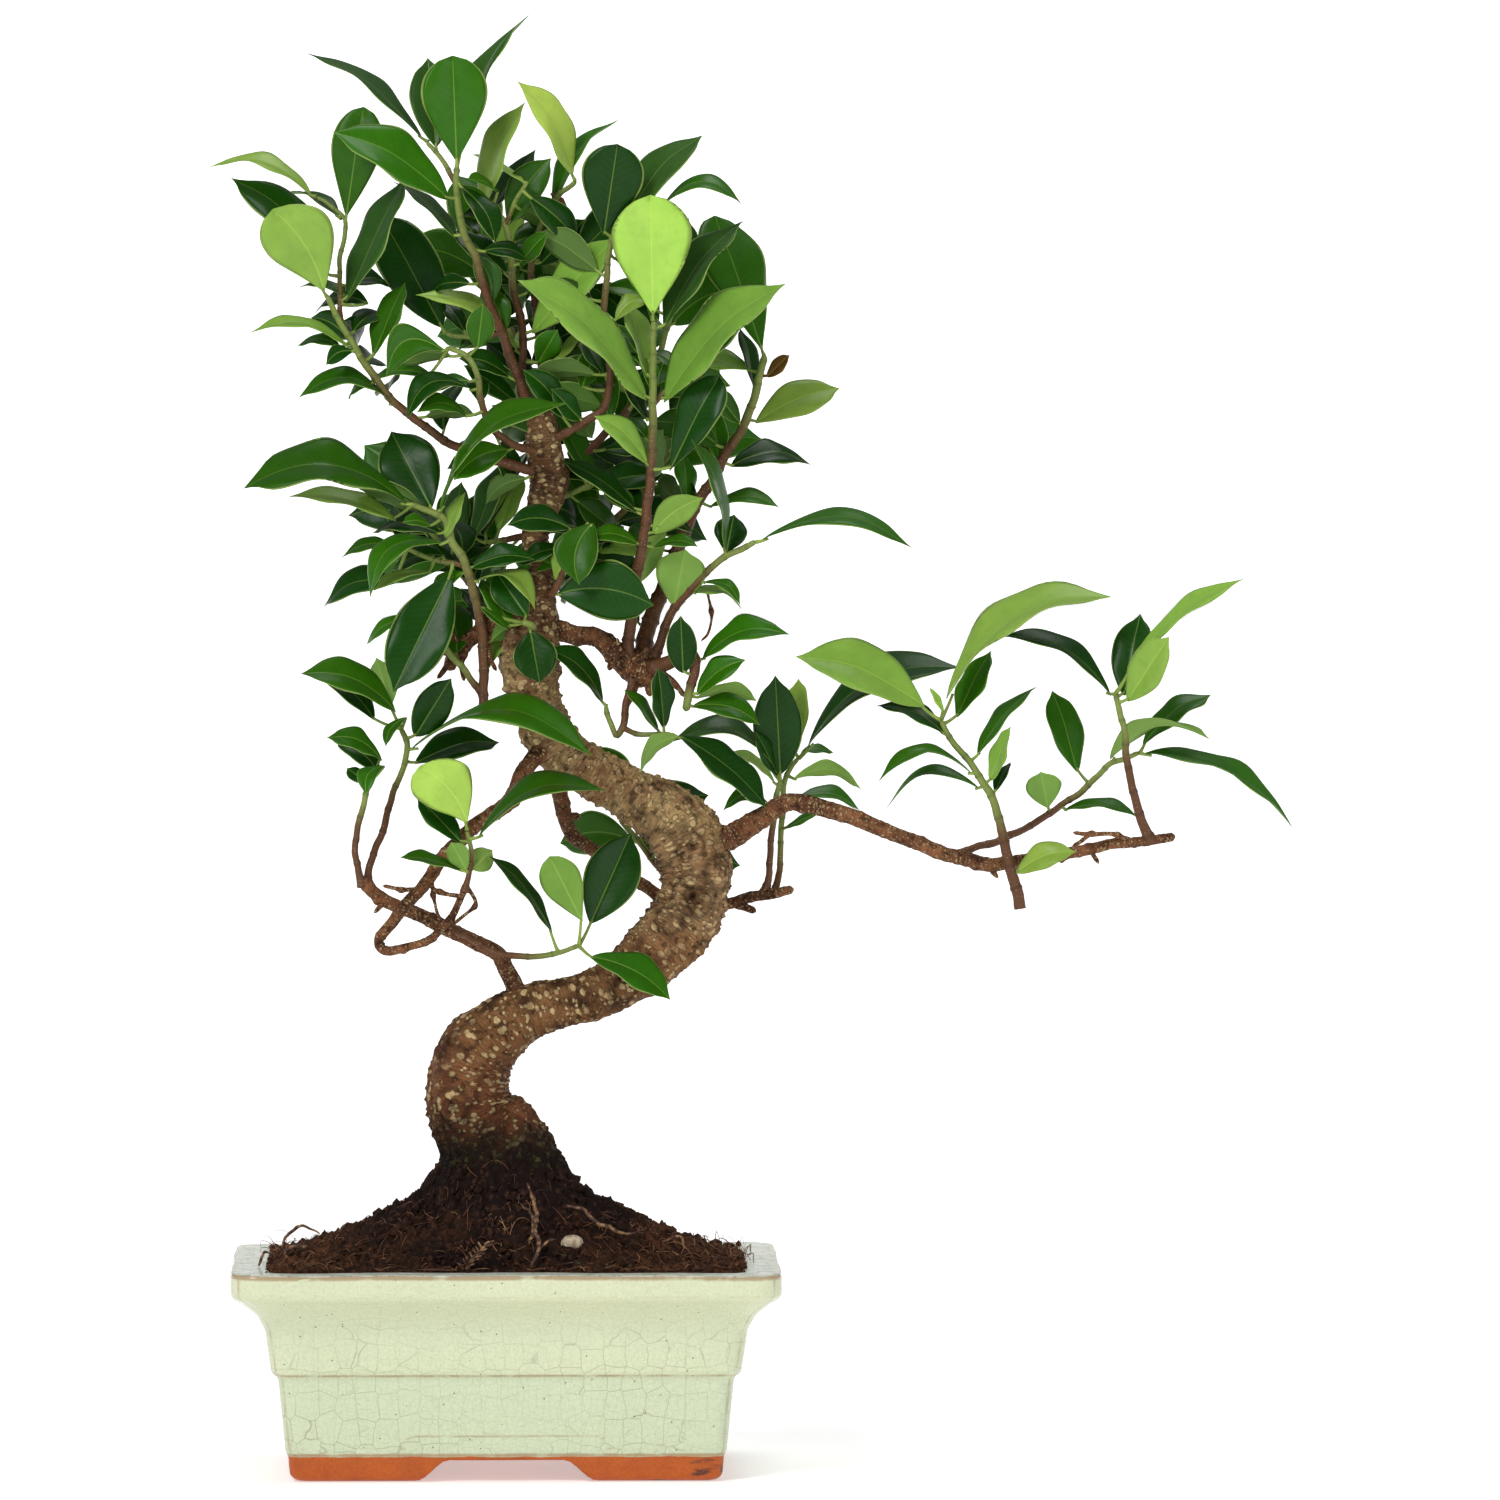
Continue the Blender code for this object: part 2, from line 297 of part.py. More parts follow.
        [(13, 5, 380, 1.9), (14, 22, 388, 1.6), (8, 33, 404, 1.4), (0, 40, 422, 1.2),
         (-8, 43, 440, 1)]], [
        (-8, 444, -18, 474, 20, 8, 3, 0), (-6, 436, -38, 446, 17, 8, 4, 0),
        (-2, 426, 20, 450, 17, 12, 3, 0), (4, 414, -26, 414, 16, 14, 4, 0),
        (8, 404, 38, 418, 18, 10, 4, 0), (12, 396, 4, 374, 15, 16, 3, 0),
        (0, 420, 14, 446, 15, 20, 3, 0)]),
    "shoot_back_crown": ("trunk", [
        [(15, 4, 360, 2), (30, 18, 372, 1.6), (46, 30, 388, 1.4), (56, 36, 406, 1.2),
         (62, 38, 424, 1)]], [
        (62, 428, 68, 458, 20, 8, 3, 0), (60, 418, 90, 432, 17, 6, 4, 0),
        (54, 408, 30, 434, 17, 12, 3, 0), (48, 394, 84, 396, 16, 12, 5, 0),
        (38, 382, 24, 410, 16, 14, 3, 0), (30, 374, 56, 366, 15, 16, 4, 0),
        (56, 404, 44, 380, 15, 16, 3, 0)]),
    "shoot_back_low": ("branch_back", [
        [(60, 26, 208, 1.8), (60, 38, 214, 1.5), (52, 48, 224, 1.3), (42, 54, 236, 1)]], [
        (42, 240, 30, 262, 17, 6, 3, 0), (48, 230, 76, 244, 17, 10, 4, 0),
        (50, 228, 20, 226, 16, 10, 4, 0), (58, 216, 88, 218, 15, 14, 4, 0),
        (56, 222, 62, 250, 15, 14, 3, 0)]),
}

unit = TREE_HEIGHT / DRAWN_TREE
bark_rgb = (0.20, 0.125, 0.075)
twig_leaf_rgb = {"top": (0.16, 0.30, 0.05), "left": (0.08, 0.20, 0.04), "right": (0.11, 0.25, 0.045),
                 "back": (0.04, 0.12, 0.03)}

for old in list(bpy.data.objects):
    bpy.data.objects.remove(old, do_unlink=True)

scene = bpy.context.scene
stand = bpy.data.objects.new("bonsai", None)
scene.collection.objects.link(stand)


# ---- helpers ----------------------------------------------------------------------------------

def at(x, y, z):
    """A point of the drawn layout, in metres."""
    return Vector((x * unit, y * unit, POT_HEIGHT + (z - DRAWN_RIM) * unit))


def to_object(name, bm):
    bmesh.ops.recalc_face_normals(bm, faces=bm.faces[:])
    mesh = bpy.data.meshes.new(name)
    bm.to_mesh(mesh)
    bm.free()
    obj = bpy.data.objects.new(name, mesh)
    scene.collection.objects.link(obj)
    return obj


def dress(obj, rgb, roughness):
    """Give an object its own material and hang it on the stand."""
    mat = bpy.data.materials.new(obj.name)
    mat.use_nodes = True
    shader = mat.node_tree.nodes["Principled BSDF"]
    shader.inputs["Base Color"].default_value = (*rgb, 1)
    shader.inputs["Roughness"].default_value = roughness
    obj.data.materials.clear()
    obj.data.materials.append(mat)
    obj.parent = stand
    return obj


def boolean(obj, tools, operation):
    """Join or cut an object with several closed tools at once, and remove the tools."""
    group = bpy.data.collections.new("tools")
    scene.collection.children.link(group)
    for tool in tools:
        scene.collection.objects.unlink(tool)
        group.objects.link(tool)
    mod = obj.modifiers.new("boolean", "BOOLEAN")
    mod.operation = operation
    mod.operand_type = "COLLECTION"
    mod.collection = group
    mod.solver = "EXACT"
    bpy.context.view_layer.objects.active = obj
    bpy.ops.object.modifier_apply(modifier=mod.name)
    for tool in tools:
        bpy.data.objects.remove(tool, do_unlink=True)
    bpy.data.collections.remove(group)
    main_body(obj)
    return obj


def main_body(obj):
    """Keep only the largest of the bodies that a cut leaves."""
    bm = bmesh.new()
    bm.from_mesh(obj.data)
    left = set(bm.verts)
    bodies = []
    while left:
        body, todo = [], [left.pop()]
        while todo:
            vert = todo.pop()
            body.append(vert)
            for edge in vert.link_edges:
                other = edge.other_vert(vert)
                if other in left:
                    left.remove(other)
                    todo.append(other)
        bodies.append(body)
    bodies.sort(key=len)
    for body in bodies[:-1]:
        bmesh.ops.delete(bm, geom=body, context="VERTS")
    bm.to_mesh(obj.data)
    bm.free()


def tube(name, points, girth, sides, grow=0.0):
    """Round wood along a bent line, as a bevelled curve turned into a mesh."""
    curve = bpy.data.curves.new(name, "CURVE")
    curve.dimensions = "3D"
    curve.bevel_depth = 1.0
    curve.bevel_resolution = (sides - 4) // 2
    curve.use_fill_caps = True
    curve.twist_mode = "MINIMUM"
    line = curve.splines.new("POLY")
    places = [at(*p[:3]) for p in points]
    if grow:
        places[0] += (places[0] - places[1]).normalized() * grow
        places[-1] += (places[-1] - places[-2]).normalized() * grow
    line.points.add(len(points) - 1)
    for spot, place, point in zip(line.points, places, points):
        spot.co = (*place, 1)
        spot.radius = point[3] * unit * girth + grow
    obj = bpy.data.objects.new(name, curve)
    scene.collection.objects.link(obj)
    mesh = bpy.data.meshes.new_from_object(obj.evaluated_get(bpy.context.evaluated_depsgraph_get()))
    bpy.data.objects.remove(obj, do_unlink=True)
    bm = bmesh.new()
    bm.from_mesh(mesh)
    bpy.data.meshes.remove(mesh)
    bmesh.ops.remove_doubles(bm, verts=bm.verts[:], dist=1e-6)
    return to_object(name, bm)


def outline(half_x, half_y, radius, index, count, along=0):
    """A point of a rounded rectangle, counted round from the +X side.

    The last of each quarter's points, along of them, divide the side after its corner.
    """
    per = count // 4
    corner, step = divmod(index, per)
    arc = per - along
    signs = ((1, 1), (-1, 1), (-1, -1), (1, -1))
    angle = math.pi / 2 * (corner + min(step / (arc - 1), 1))
    share = max(step - arc + 1, 0) / (along + 1)
    (ax, ay), (bx, by) = signs[corner], signs[(corner + 1) % 4]
    return ((ax + (bx - ax) * share) * (half_x - radius) + radius * math.cos(angle),
            (ay + (by - ay) * share) * (half_y - radius) + radius * math.sin(angle))


def loft(name, levels, count):
    """Extrude a capped ring up through levels, each a function from index to (x, y, z)."""
    bm = bmesh.new()
    ring = bmesh.ops.create_circle(bm, cap_ends=True, segments=count, radius=1)["verts"]
    face = next(iter(bm.faces))
    order = sorted(ring, key=lambda v: math.atan2(v.co.y, v.co.x) % (2 * math.pi))
    for index, vert in enumerate(order):
        vert.co = levels[0](index)
    for level in levels[1:]:
        under_it = face
        grown = bmesh.ops.extrude_face_region(bm, geom=[face])
        if under_it.is_valid:
            bmesh.ops.delete(bm, geom=[under_it], context="FACES_ONLY")
        face = [f for f in grown["geom"] if isinstance(f, bmesh.types.BMFace)][0]
        fresh = {v for v in grown["geom"] if isinstance(v, bmesh.types.BMVert)}
        order = [next(e.other_vert(v) for e in v.link_edges if e.other_vert(v) in fresh) for v in order]
        for index, vert in enumerate(order):
            vert.co = level(index)
    bmesh.ops.holes_fill(bm, edges=[e for e in bm.edges if e.is_boundary], sides=count)
    return to_object(name, bm)


def block(name, low, high, top_inset=0.0):
    """A box between two corners, its top drawn in along X and Y."""
    bm = bmesh.new()
    bmesh.ops.create_cube(bm, size=1)
    low, high = Vector(low), Vector(high)
    for vert in bm.verts:
        draw = top_inset if vert.co.z > 0 else 0
        for axis in range(3):
            side = vert.co[axis] + 0.5
            vert.co[axis] = low[axis] + (high[axis] - low[axis]) * side
            if axis < 2:
                vert.co[axis] += draw * (1 if side < 0.5 else -1)
    return to_object(name, bm)


# ---- pot --------------------------------------------------------------------------------------

inner_x = POT_WIDTH / 2 - RIM_WIDTH
inner_y = POT_DEPTH / 2 - RIM_WIDTH
floor_top = ARCH_RISE + FLOOR
pot_count = 24

# Outside from the foot up, over the rim and down inside: (step in from the rim, height, corner).
glaze = POT_HEIGHT - FOOT_HEIGHT
outside = [(0.0240, 0.0), (0.0218, 0.0012), (0.0210, FOOT_HEIGHT - 0.0003),
           (0.0212, FOOT_HEIGHT), (0.0198, FOOT_HEIGHT + 0.0017), (0.0170, FOOT_HEIGHT + 0.430 * glaze),
           (0.0148, FOOT_HEIGHT + 0.450 * glaze), (0.0125, FOOT_HEIGHT + 0.690 * glaze),
           (0.0095, FOOT_HEIGHT + 0.770 * glaze), (0.0040, FOOT_HEIGHT + 0.835 * glaze),
           (0.0002, FOOT_HEIGHT + 0.872 * glaze), (0.0, FOOT_HEIGHT + 0.890 * glaze),
           (0.0, POT_HEIGHT - 0.0014), (0.0012, POT_HEIGHT)]
inside = [(RIM_WIDTH - 0.0010, POT_HEIGHT), (RIM_WIDTH, POT_HEIGHT - 0.0015),
          (RIM_WIDTH + 0.0015, POT_HEIGHT * 0.80), (0.0125 + WALL, POT_HEIGHT * 0.62),
          (0.0170 + WALL + 0.0010, floor_top + 0.004), (0.0170 + WALL + 0.0050, floor_top)]


def pot_level(step, height, shrink=0.0, along=0):
    def place(index):
        radius = max(CORNER_RADIUS - step * 0.25, 0.003)
        x, y = outline(POT_WIDTH / 2 - step - shrink, POT_DEPTH / 2 - step - shrink, radius,
                       index, pot_count + 4 * along, along)
        return Vector((x, y, height))
    return place


pot = loft("pot", [pot_level(*pair) for pair in outside + inside], pot_count)
slope = 0.012
under = -0.005
foot_x = POT_WIDTH / 2 - 0.0218 - LEG_WIDTH
foot_y = POT_DEPTH / 2 - 0.0218 - LEG_WIDTH
# Each arch opens to ARCH_WIDTH at the bench and narrows as it rises.
below = slope * -under / ARCH_RISE
tools = [
    block("arch_front", (-ARCH_WIDTH / 2 - below, -POT_DEPTH, under),
          (ARCH_WIDTH / 2 + below, POT_DEPTH, ARCH_RISE), slope + below),
    block("arch_side", (-POT_WIDTH, -SIDE_ARCH_WIDTH / 2 - below, under),
          (POT_WIDTH, SIDE_ARCH_WIDTH / 2 + below, ARCH_RISE), slope + below),
    block("underside", (-foot_x, -foot_y, under), (foot_x, foot_y, ARCH_RISE), 0.0)]
for side in (-1, 1):
    bm = bmesh.new()
    bmesh.ops.create_cone(bm, cap_ends=True, segments=20, radius1=HOLE_DIAMETER / 2,
                          radius2=HOLE_DIAMETER / 2, depth=0.04)
    bmesh.ops.translate(bm, verts=bm.verts[:], vec=(side * HOLE_SPACING / 2, 0, floor_top))
    tools.append(to_object("hole", bm))
boolean(pot, tools, "DIFFERENCE")
dress(pot, (0.69, 0.77, 0.58), 0.25)

# ---- drainage meshes --------------------------------------------------------------------------


def drainage_mesh(name, x, grow=0.0):
    """A square of plastic net lying on the pot's floor over a hole."""
    half = MESH_SIZE / 2 + grow
    low = floor_top + GAP - grow
    net = block(name, (x - half, -half, low), (x + half, half, low + MESH_THICKNESS + 2 * grow))
    if grow:
        return net
    cells = []
    pitch = MESH_SIZE / 5
    for i in range(4):
        for j in range(4):
            cx, cy = x + (i - 1.5) * pitch, (j - 1.5) * pitch
            cells.append(block("cell", (cx - 0.3 * pitch, cy - 0.3 * pitch, 0),
                               (cx + 0.3 * pitch, cy + 0.3 * pitch, POT_HEIGHT)))
    return boolean(net, cells, "DIFFERENCE")


for side, x in (("left", -HOLE_SPACING / 2), ("right", HOLE_SPACING / 2)):
    dress(drainage_mesh("drainage_mesh_" + side, x), (0.02, 0.02, 0.02), 0.6)

# ---- soil -------------------------------------------------------------------------------------


def soil_height(x, y):
    """The mound: highest at the trunk and falling to the rim on an ellipse."""
    spread = math.hypot(x / inner_x, y / inner_y)
    return POT_HEIGHT - 0.001 + MOUND_HEIGHT * max(1 - spread ** 1.15, 0) ** 1.25


soil_along = 6          # corners of the soil on each straight side, so that the mound is round


def mound_level(share):
    edge = pot_level(RIM_WIDTH + GAP, 0, along=soil_along)

    def place(index):
        x, y, _ = edge(index) * share
        lump = 0.0012 * math.sin(7 * math.atan2(y, x) + 9 * share) * (share < 1)
        return Vector((x, y, soil_height(x, y) + lump))
    return place


packed = [pot_level(step, height, shrink, soil_along) for step, height, shrink in (
    (0.0170 + WALL + 0.0050, floor_top + GAP, GAP), (0.0170 + WALL + 0.0010, floor_top + 0.004, GAP * 1.4),
    (0.0125 + WALL, POT_HEIGHT * 0.62, GAP * 1.4), (RIM_WIDTH + 0.0015, POT_HEIGHT * 0.80, GAP * 1.4))]
soil = loft("soil", packed + [mound_level(s) for s in (1, 0.9, 0.75, 0.6, 0.45, 0.3, 0.15)],
            pot_count + 4 * soil_along)

# ---- wood and shoots --------------------------------------------------------------------------

wood = {"trunk": [(TRUNK, TRUNK_GIRTH, 12)] + [(root, TRUNK_GIRTH, 8) for root in ROOTS]}
parents = {}
for name, (parent, lines) in BRANCHES.items():
    wood[name] = [(line, BRANCH_GIRTH, 8 if line[0][3] > 1.5 else 4) for line in lines]
    parents[name] = parent
for name, (parent, lines, _) in SHOOTS.items():
    wood[name] = [(line, TWIG_GIRTH, 6 if line[0][3] > 1.75 else 4) for line in lines]
    parents[name] = parent


def tubes(name, grow=0.0):
    return [tube(name + "_wood", line, girth, sides, grow) for line, girth, sides in wood[name]]


def nearest_on(lines, point):
    """The point of bent lines nearest to a drawn (x, z), with its y and its direction."""
    best = None
    for line in lines:
        for a, b in zip(line, line[1:]):
            ax, az, bx, bz = a[0], a[2], b[0], b[2]
            run = (bx - ax) ** 2 + (bz - az) ** 2 or 1e-9
            t = ((point[0] - ax) * (bx - ax) + (point[1] - az) * (bz - az)) / run
            t = min(max(t, 0.03), 0.97)
            spot = [a[i] + (b[i] - a[i]) * t for i in range(3)]
            away = math.hypot(spot[0] - point[0], spot[2] - point[1])
            if best is None or away < best[0]:
                best = (away, spot)
    return best[1]


def leaf_frame(foot, tip, seen, under_side):
    """The blade's length, full width and across and face directions from how it is seen."""
    along = tip - foot
    length = along.length
    along.normalize()
    width = max(seen, 0.46 * length) if seen > 0.14 * length else max(seen, 0.36 * length)
    turn = math.acos(min(seen / width, 1))
    if under_side:
        turn = math.pi - turn
    toward = Vector((0, -1, 0))
    toward = (toward - toward.dot(along) * along).normalized()
    up = along.cross(toward)
    if up.z < 0:
        up = -up
    face = (toward * math.cos(turn) + up * math.sin(turn)).normalized()
    return length, width, along.cross(face), face, up


def leaf(name, root, foot, tip, seen, arch, under_side, grow=0.0):
    """One leaf as a four-sided sphere drawn out along its stalk, midrib and tip."""
    if (foot - root).length < 0.002:
        foot = root + (tip - root).normalized() * 0.002
    length, width, across, face, up = leaf_frame(foot, tip, seen, under_side)
    stalk = 0.0006 + grow
    back = (root - foot).normalized() * 0.0004
    # The stalk's rings turn from its own direction into the blade's without a twist.
    along = (tip - foot).normalized()
    turns = [along.rotation_difference(-back), along.rotation_difference(along - back / 0.0004)]
    bm = bmesh.new()
    bmesh.ops.create_uvsphere(bm, u_segments=4, v_segments=6, radius=1)
    shares = (None, None, 0.0, 0.27, 0.60, 0.88, 1.0)
    wide = (0, 0, 0, 0.38, 0.49, 0.24, 0)
    for vert in bm.verts:
        k = round(math.acos(max(-1, min(1, -vert.co.z))) / math.pi * 6)
        side = 0 if abs(vert.co.x) < 1e-3 else math.copysign(1, vert.co.x)
        rise = 0 if abs(vert.co.y) < 1e-3 else math.copysign(1, vert.co.y)
        if k < 2:
            centre = root + back * (2 - k)
            half, thick = stalk * k, stalk * k
        else:
            s = shares[k]
            centre = foot.lerp(tip, s) + up * arch * 4 * s * (1 - s)
            half = max(wide[k] * width, stalk) + grow * (k > 2)
            thick = LEAF_THICKNESS / 2 + grow if k > 2 else stalk
            if k == 6:
                half = thick = 0
                centre = centre + (tip - foot).normalized() * grow
        fold = 0.22 * half * abs(side) if k > 2 else 0
        offset = across * side * half + face * (rise * thick + fold)
        if k < 3:
            offset.rotate(turns[k // 2])
        vert.co = centre + offset
    return to_object(name, bm)


def tree_of(obj, root=None):
    """Search trees of an object's faces, all and those away from a leaf's root, with its bounds."""
    mesh = obj.data
    points = [v.co.copy() for v in mesh.vertices]
    low = Vector([min(p[i] for p in points) for i in range(3)])
    high = Vector([max(p[i] for p in points) for i in range(3)])
    whole = [p.vertices[:] for p in mesh.polygons]
    blade = whole
    if root is not None:
        blade = [v for v in whole if min((points[i] - root).length for i in v) > 0.0035]
    return BVHTree.FromPolygons(points, whole), BVHTree.FromPolygons(points, blade), low, high


def clear_of(shape, owner):
    """Whether a shape meets nothing placed so far but its own shoot's twigs and leaf stalks."""
    whole, blade, low, high = shape
    for other, kind, (near, near_blade, near_low, near_high) in taken:
        if kind == "wood" and other == owner:
            continue
        if all(low[i] <= near_high[i] and near_low[i] <= high[i] for i in range(3)):
            if other == owner and blade.overlap(near_blade) or other != owner and whole.overlap(near):
                return False
    return True


def settled(owner, lines, row):
    """Turn a leaf's tip to and fro in depth, then shorten it, until it is clear."""
    foot_x_mm, foot_z_mm, tip_x, tip_z, seen, shift, arch, under_side = row
    spot = nearest_on(lines, (foot_x_mm, foot_z_mm))
    away = math.hypot(spot[0] - foot_x_mm, spot[2] - foot_z_mm)
    lean = 0.35 * away * (1 if shift > 0 else -1)
    root, foot = at(*spot), at(foot_x_mm, spot[1] + lean, foot_z_mm)
    for shorter in (1, 0.85, 0.7, 0.55, 0.4):
        for step in range(27):
            push = (step + 1) // 2 * 3 * (1 if step % 2 else -1)
            if shift < 0:
                push = -push
            tip = foot.lerp(at(tip_x, spot[1] + lean + shift + push, tip_z), shorter)
            shape = (tip, seen * unit * shorter, arch * unit * shorter, under_side)
            test = leaf("test", root, foot, *shape, grow=0.0008)
            found = tree_of(test, root)
            bpy.data.objects.remove(test, do_unlink=True)
            if clear_of(found, owner):
                return leaf(owner + "_leaf", root, foot, *shape), found
    return None, None


taken = []
for name in wood:
    for obj in tubes(name, GAP):
        taken.append((name, "wood", tree_of(obj)))
        bpy.data.objects.remove(obj, do_unlink=True)

leaves = {}
for name, (parent, lines, rows) in SHOOTS.items():
    leaves[name] = []
    for row in rows:
        blade, found = settled(name, lines, row)
        if blade:
            leaves[name].append(blade)
            taken.append((name, "leaf", found))

for name in wood:
    first, *rest = tubes(name)
    first.name = name
    rest += leaves.get(name, [])
    if rest:
        boolean(first, rest, "UNION")
    if name in parents:
        boolean(first, tubes(parents[name], GAP), "DIFFERENCE")
        group = next((c for key, c in twig_leaf_rgb.items() if "_" + key in name), twig_leaf_rgb["left"])
        dress(first, bark_rgb if name.startswith("branch") else group, 0.4)
    else:
        dress(first, bark_rgb, 0.8)

# ---- what lies on the soil --------------------------------------------------------------------


def pebble_stone(name, grow=0.0):
    """A small worn stone, part sunk in the soil in front of the trunk."""
    x, y = 0.024, -0.039
    bm = bmesh.new()
    bmesh.ops.create_icosphere(bm, subdivisions=2, radius=1)
    for vert in bm.verts:
        vert.co = Vector((vert.co.x * (0.0042 + grow), vert.co.y * (0.0036 + grow),
                          vert.co.z * (0.0030 + grow)))
        vert.co += Vector((x, y, soil_height(x, y) + 0.0008))
    return to_object(name, bm)


def lying_root(name, route, grow=0.0):
    """A dead root that follows the soil, half sunk in it."""
    line = []
    for x, y, lift in route:
        z = soil_height(x / 1000, y / 1000) + (lift + 0.3) / 1000
        line.append((x / 1000 / unit, y / 1000 / unit, DRAWN_RIM + (z - POT_HEIGHT) / unit, 0.9 / 1000 / unit))
    return tube(name, line, 1.0, 4, grow)


LYING = {"loose_root_left": [(-80, -8, -1.5), (-80, -10, 3), (-76, -12, 4), (-70, -14, 1), (-66, -18, 0.5)],
         "loose_root_front": [(7, -46, 0.5), (9, -40, 1), (11, -34, 1), (10, -29, 1), (8, -25, 1)]}
dents = [pebble_stone("dent", GAP)] + [lying_root("dent", route, GAP) for route in LYING.values()]
dents += tubes("trunk", GAP)
dents += [drainage_mesh("dent", side * HOLE_SPACING / 2, GAP) for side in (-1, 1)]
boolean(soil, dents, "DIFFERENCE")
dress(soil, (0.035, 0.018, 0.012), 0.95)
dress(pebble_stone("pebble"), (0.52, 0.45, 0.33), 0.8)
for name, route in LYING.items():
    dress(lying_root(name, route), (0.16, 0.07, 0.035), 0.85)

# ---- place the whole with its bounding box centred over the origin ----------------------------

corners = [v.co for obj in stand.children for v in obj.data.vertices]
middle_x = (min(c.x for c in corners) + max(c.x for c in corners)) / 2
middle_y = (min(c.y for c in corners) + max(c.y for c in corners)) / 2
stand.location = (-middle_x, -middle_y, 0)
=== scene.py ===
"""A ficus bonsai in a glazed rectangular pot, dressed for rendering over its CAD frame."""
import math

import bmesh
import bpy
import numpy as np
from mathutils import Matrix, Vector


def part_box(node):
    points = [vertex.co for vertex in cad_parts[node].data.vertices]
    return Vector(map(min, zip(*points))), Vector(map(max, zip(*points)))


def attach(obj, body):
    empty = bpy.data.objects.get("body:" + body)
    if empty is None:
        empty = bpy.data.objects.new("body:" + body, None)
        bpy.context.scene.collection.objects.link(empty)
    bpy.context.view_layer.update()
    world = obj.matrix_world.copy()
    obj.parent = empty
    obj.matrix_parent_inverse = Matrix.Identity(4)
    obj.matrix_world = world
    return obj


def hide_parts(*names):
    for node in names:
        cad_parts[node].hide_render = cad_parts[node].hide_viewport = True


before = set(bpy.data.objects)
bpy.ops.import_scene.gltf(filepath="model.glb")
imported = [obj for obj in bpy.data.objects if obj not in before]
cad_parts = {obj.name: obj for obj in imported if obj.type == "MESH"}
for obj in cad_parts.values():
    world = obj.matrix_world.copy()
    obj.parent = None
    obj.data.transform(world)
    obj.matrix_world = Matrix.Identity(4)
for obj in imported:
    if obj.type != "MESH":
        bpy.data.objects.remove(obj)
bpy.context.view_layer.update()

# ---- Pot ----------------------------------------------------------------------------------
# One fired clay piece: a wide rim, a cove, two tiers and a bare terracotta foot with an arch
# between its feet on each side.  It is dipped in a mint glaze that has crazed all over.
pot_low, pot_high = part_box("pot")
pot_x, pot_y = (pot_low.x + pot_high.x) / 2, (pot_low.y + pot_high.y) / 2
POT_X, POT_Y, POT_Z = 0.100, 0.073, 0.077
FOOT_Z, ARCH_Z, RIM_WIDE, LEG_WIDE = 0.0088, 0.0079, 0.014, 0.014
FLOOR_Z = ARCH_Z + 0.006
WALL_IN = 0.0245
# How far each arch reaches from the middle of its side, and the drainage holes.
ARCH_FRONT, ARCH_END = 0.033, 0.020
DRAIN_X, DRAIN_TOP, DRAIN_BOTTOM = 0.038, 0.0088, 0.0092


def linked(name, data):
    """A new object of this mesh, light or camera, in the scene."""
    obj = bpy.data.objects.new(name, data)
    bpy.context.scene.collection.objects.link(obj)
    return obj


def hump(x, width):
    """A bell curve: 1 at 0, and falling away over width."""
    return np.exp(-(x / width) ** 2)


def run_along(path):
    """The distance along a path to each of its points."""
    return np.r_[0, np.cumsum(np.linalg.norm(np.diff(path, axis=0), axis=1))]


def headings(path):
    """The unit direction of a path at each of its points."""
    along = np.gradient(path, axis=0)
    along /= np.linalg.norm(along, axis=1, keepdims=True)
    return along


def sines(points, wavelength, seed, count=14):
    """Smooth noise near -1..1: a sum of plane waves in random directions and phases."""
    rng = np.random.default_rng(seed)
    ways = rng.normal(size=(count, 3))
    ways *= (2 * np.pi / wavelength) * rng.uniform(0.6, 1.5, (count, 1)) / np.linalg.norm(
        ways, axis=1, keepdims=True)
    return np.sin(points @ ways.T + rng.uniform(0, 2 * np.pi, count)).sum(-1) / math.sqrt(count / 2) / 1.6


def smooth(x, low, high):
    """0 below low, 1 above high, and an S-shaped ramp between."""
    t = np.clip((x - low) / (high - low), 0, 1)
    return t * t * (3 - 2 * t)


def join_sheets(name, sheets):
    """One object from grids of points.

    Each sheet is (points[n, m, 3], values, slot, wrap, capped): quads run between neighbours,
    round the second way if wrap, and a fan closes each end if capped.  values holds vertex
    attributes, each [n, m, 3], with the same names in every sheet.
    """
    places, faces, slots = [], [], []
    values = {key: [] for key in sheets[0][1]}
    start = 0
    for points, extra, slot, wrap, capped in sheets:
        n, m = points.shape[:2]
        index = np.arange(n * m).reshape(n, m) + start
        right = np.roll(index, -1, axis=1) if wrap else index[:, 1:]
        left = index if wrap else index[:, :-1]
        quads = np.stack([left[:-1], right[:-1], right[1:], left[1:]], -1).reshape(-1, 4)
        faces += quads.tolist()
        places.append(points.reshape(-1, 3))
        for key in values:
            values[key].append(extra[key].reshape(-1, 3))
        start += n * m
        new = len(quads)
        if capped:
            for row, turn in ((0, -1), (-1, 1)):
                places.append(points[row].mean(0)[None])
                for key in values:
                    values[key].append(extra[key][row].mean(0)[None])
                loop = index[row]
                pairs = zip(loop.tolist(), np.roll(loop, -1).tolist())
                faces += [[a, b, start][::turn] for a, b in pairs]
                start += 1
                new += m
        slots += [slot] * new
    mesh = bpy.data.meshes.new(name)
    mesh.from_pydata(np.concatenate(places).tolist(), [], faces)
    mesh.polygons.foreach_set("material_index", slots)
    mesh.polygons.foreach_set("use_smooth", [True] * len(faces))
    for key, parts in values.items():
        layer = mesh.attributes.new(key, "FLOAT_VECTOR", "POINT")
        layer.data.foreach_set("vector", np.concatenate(parts).astype(np.float32).ravel())
    mesh.update()
    return linked(name, mesh)


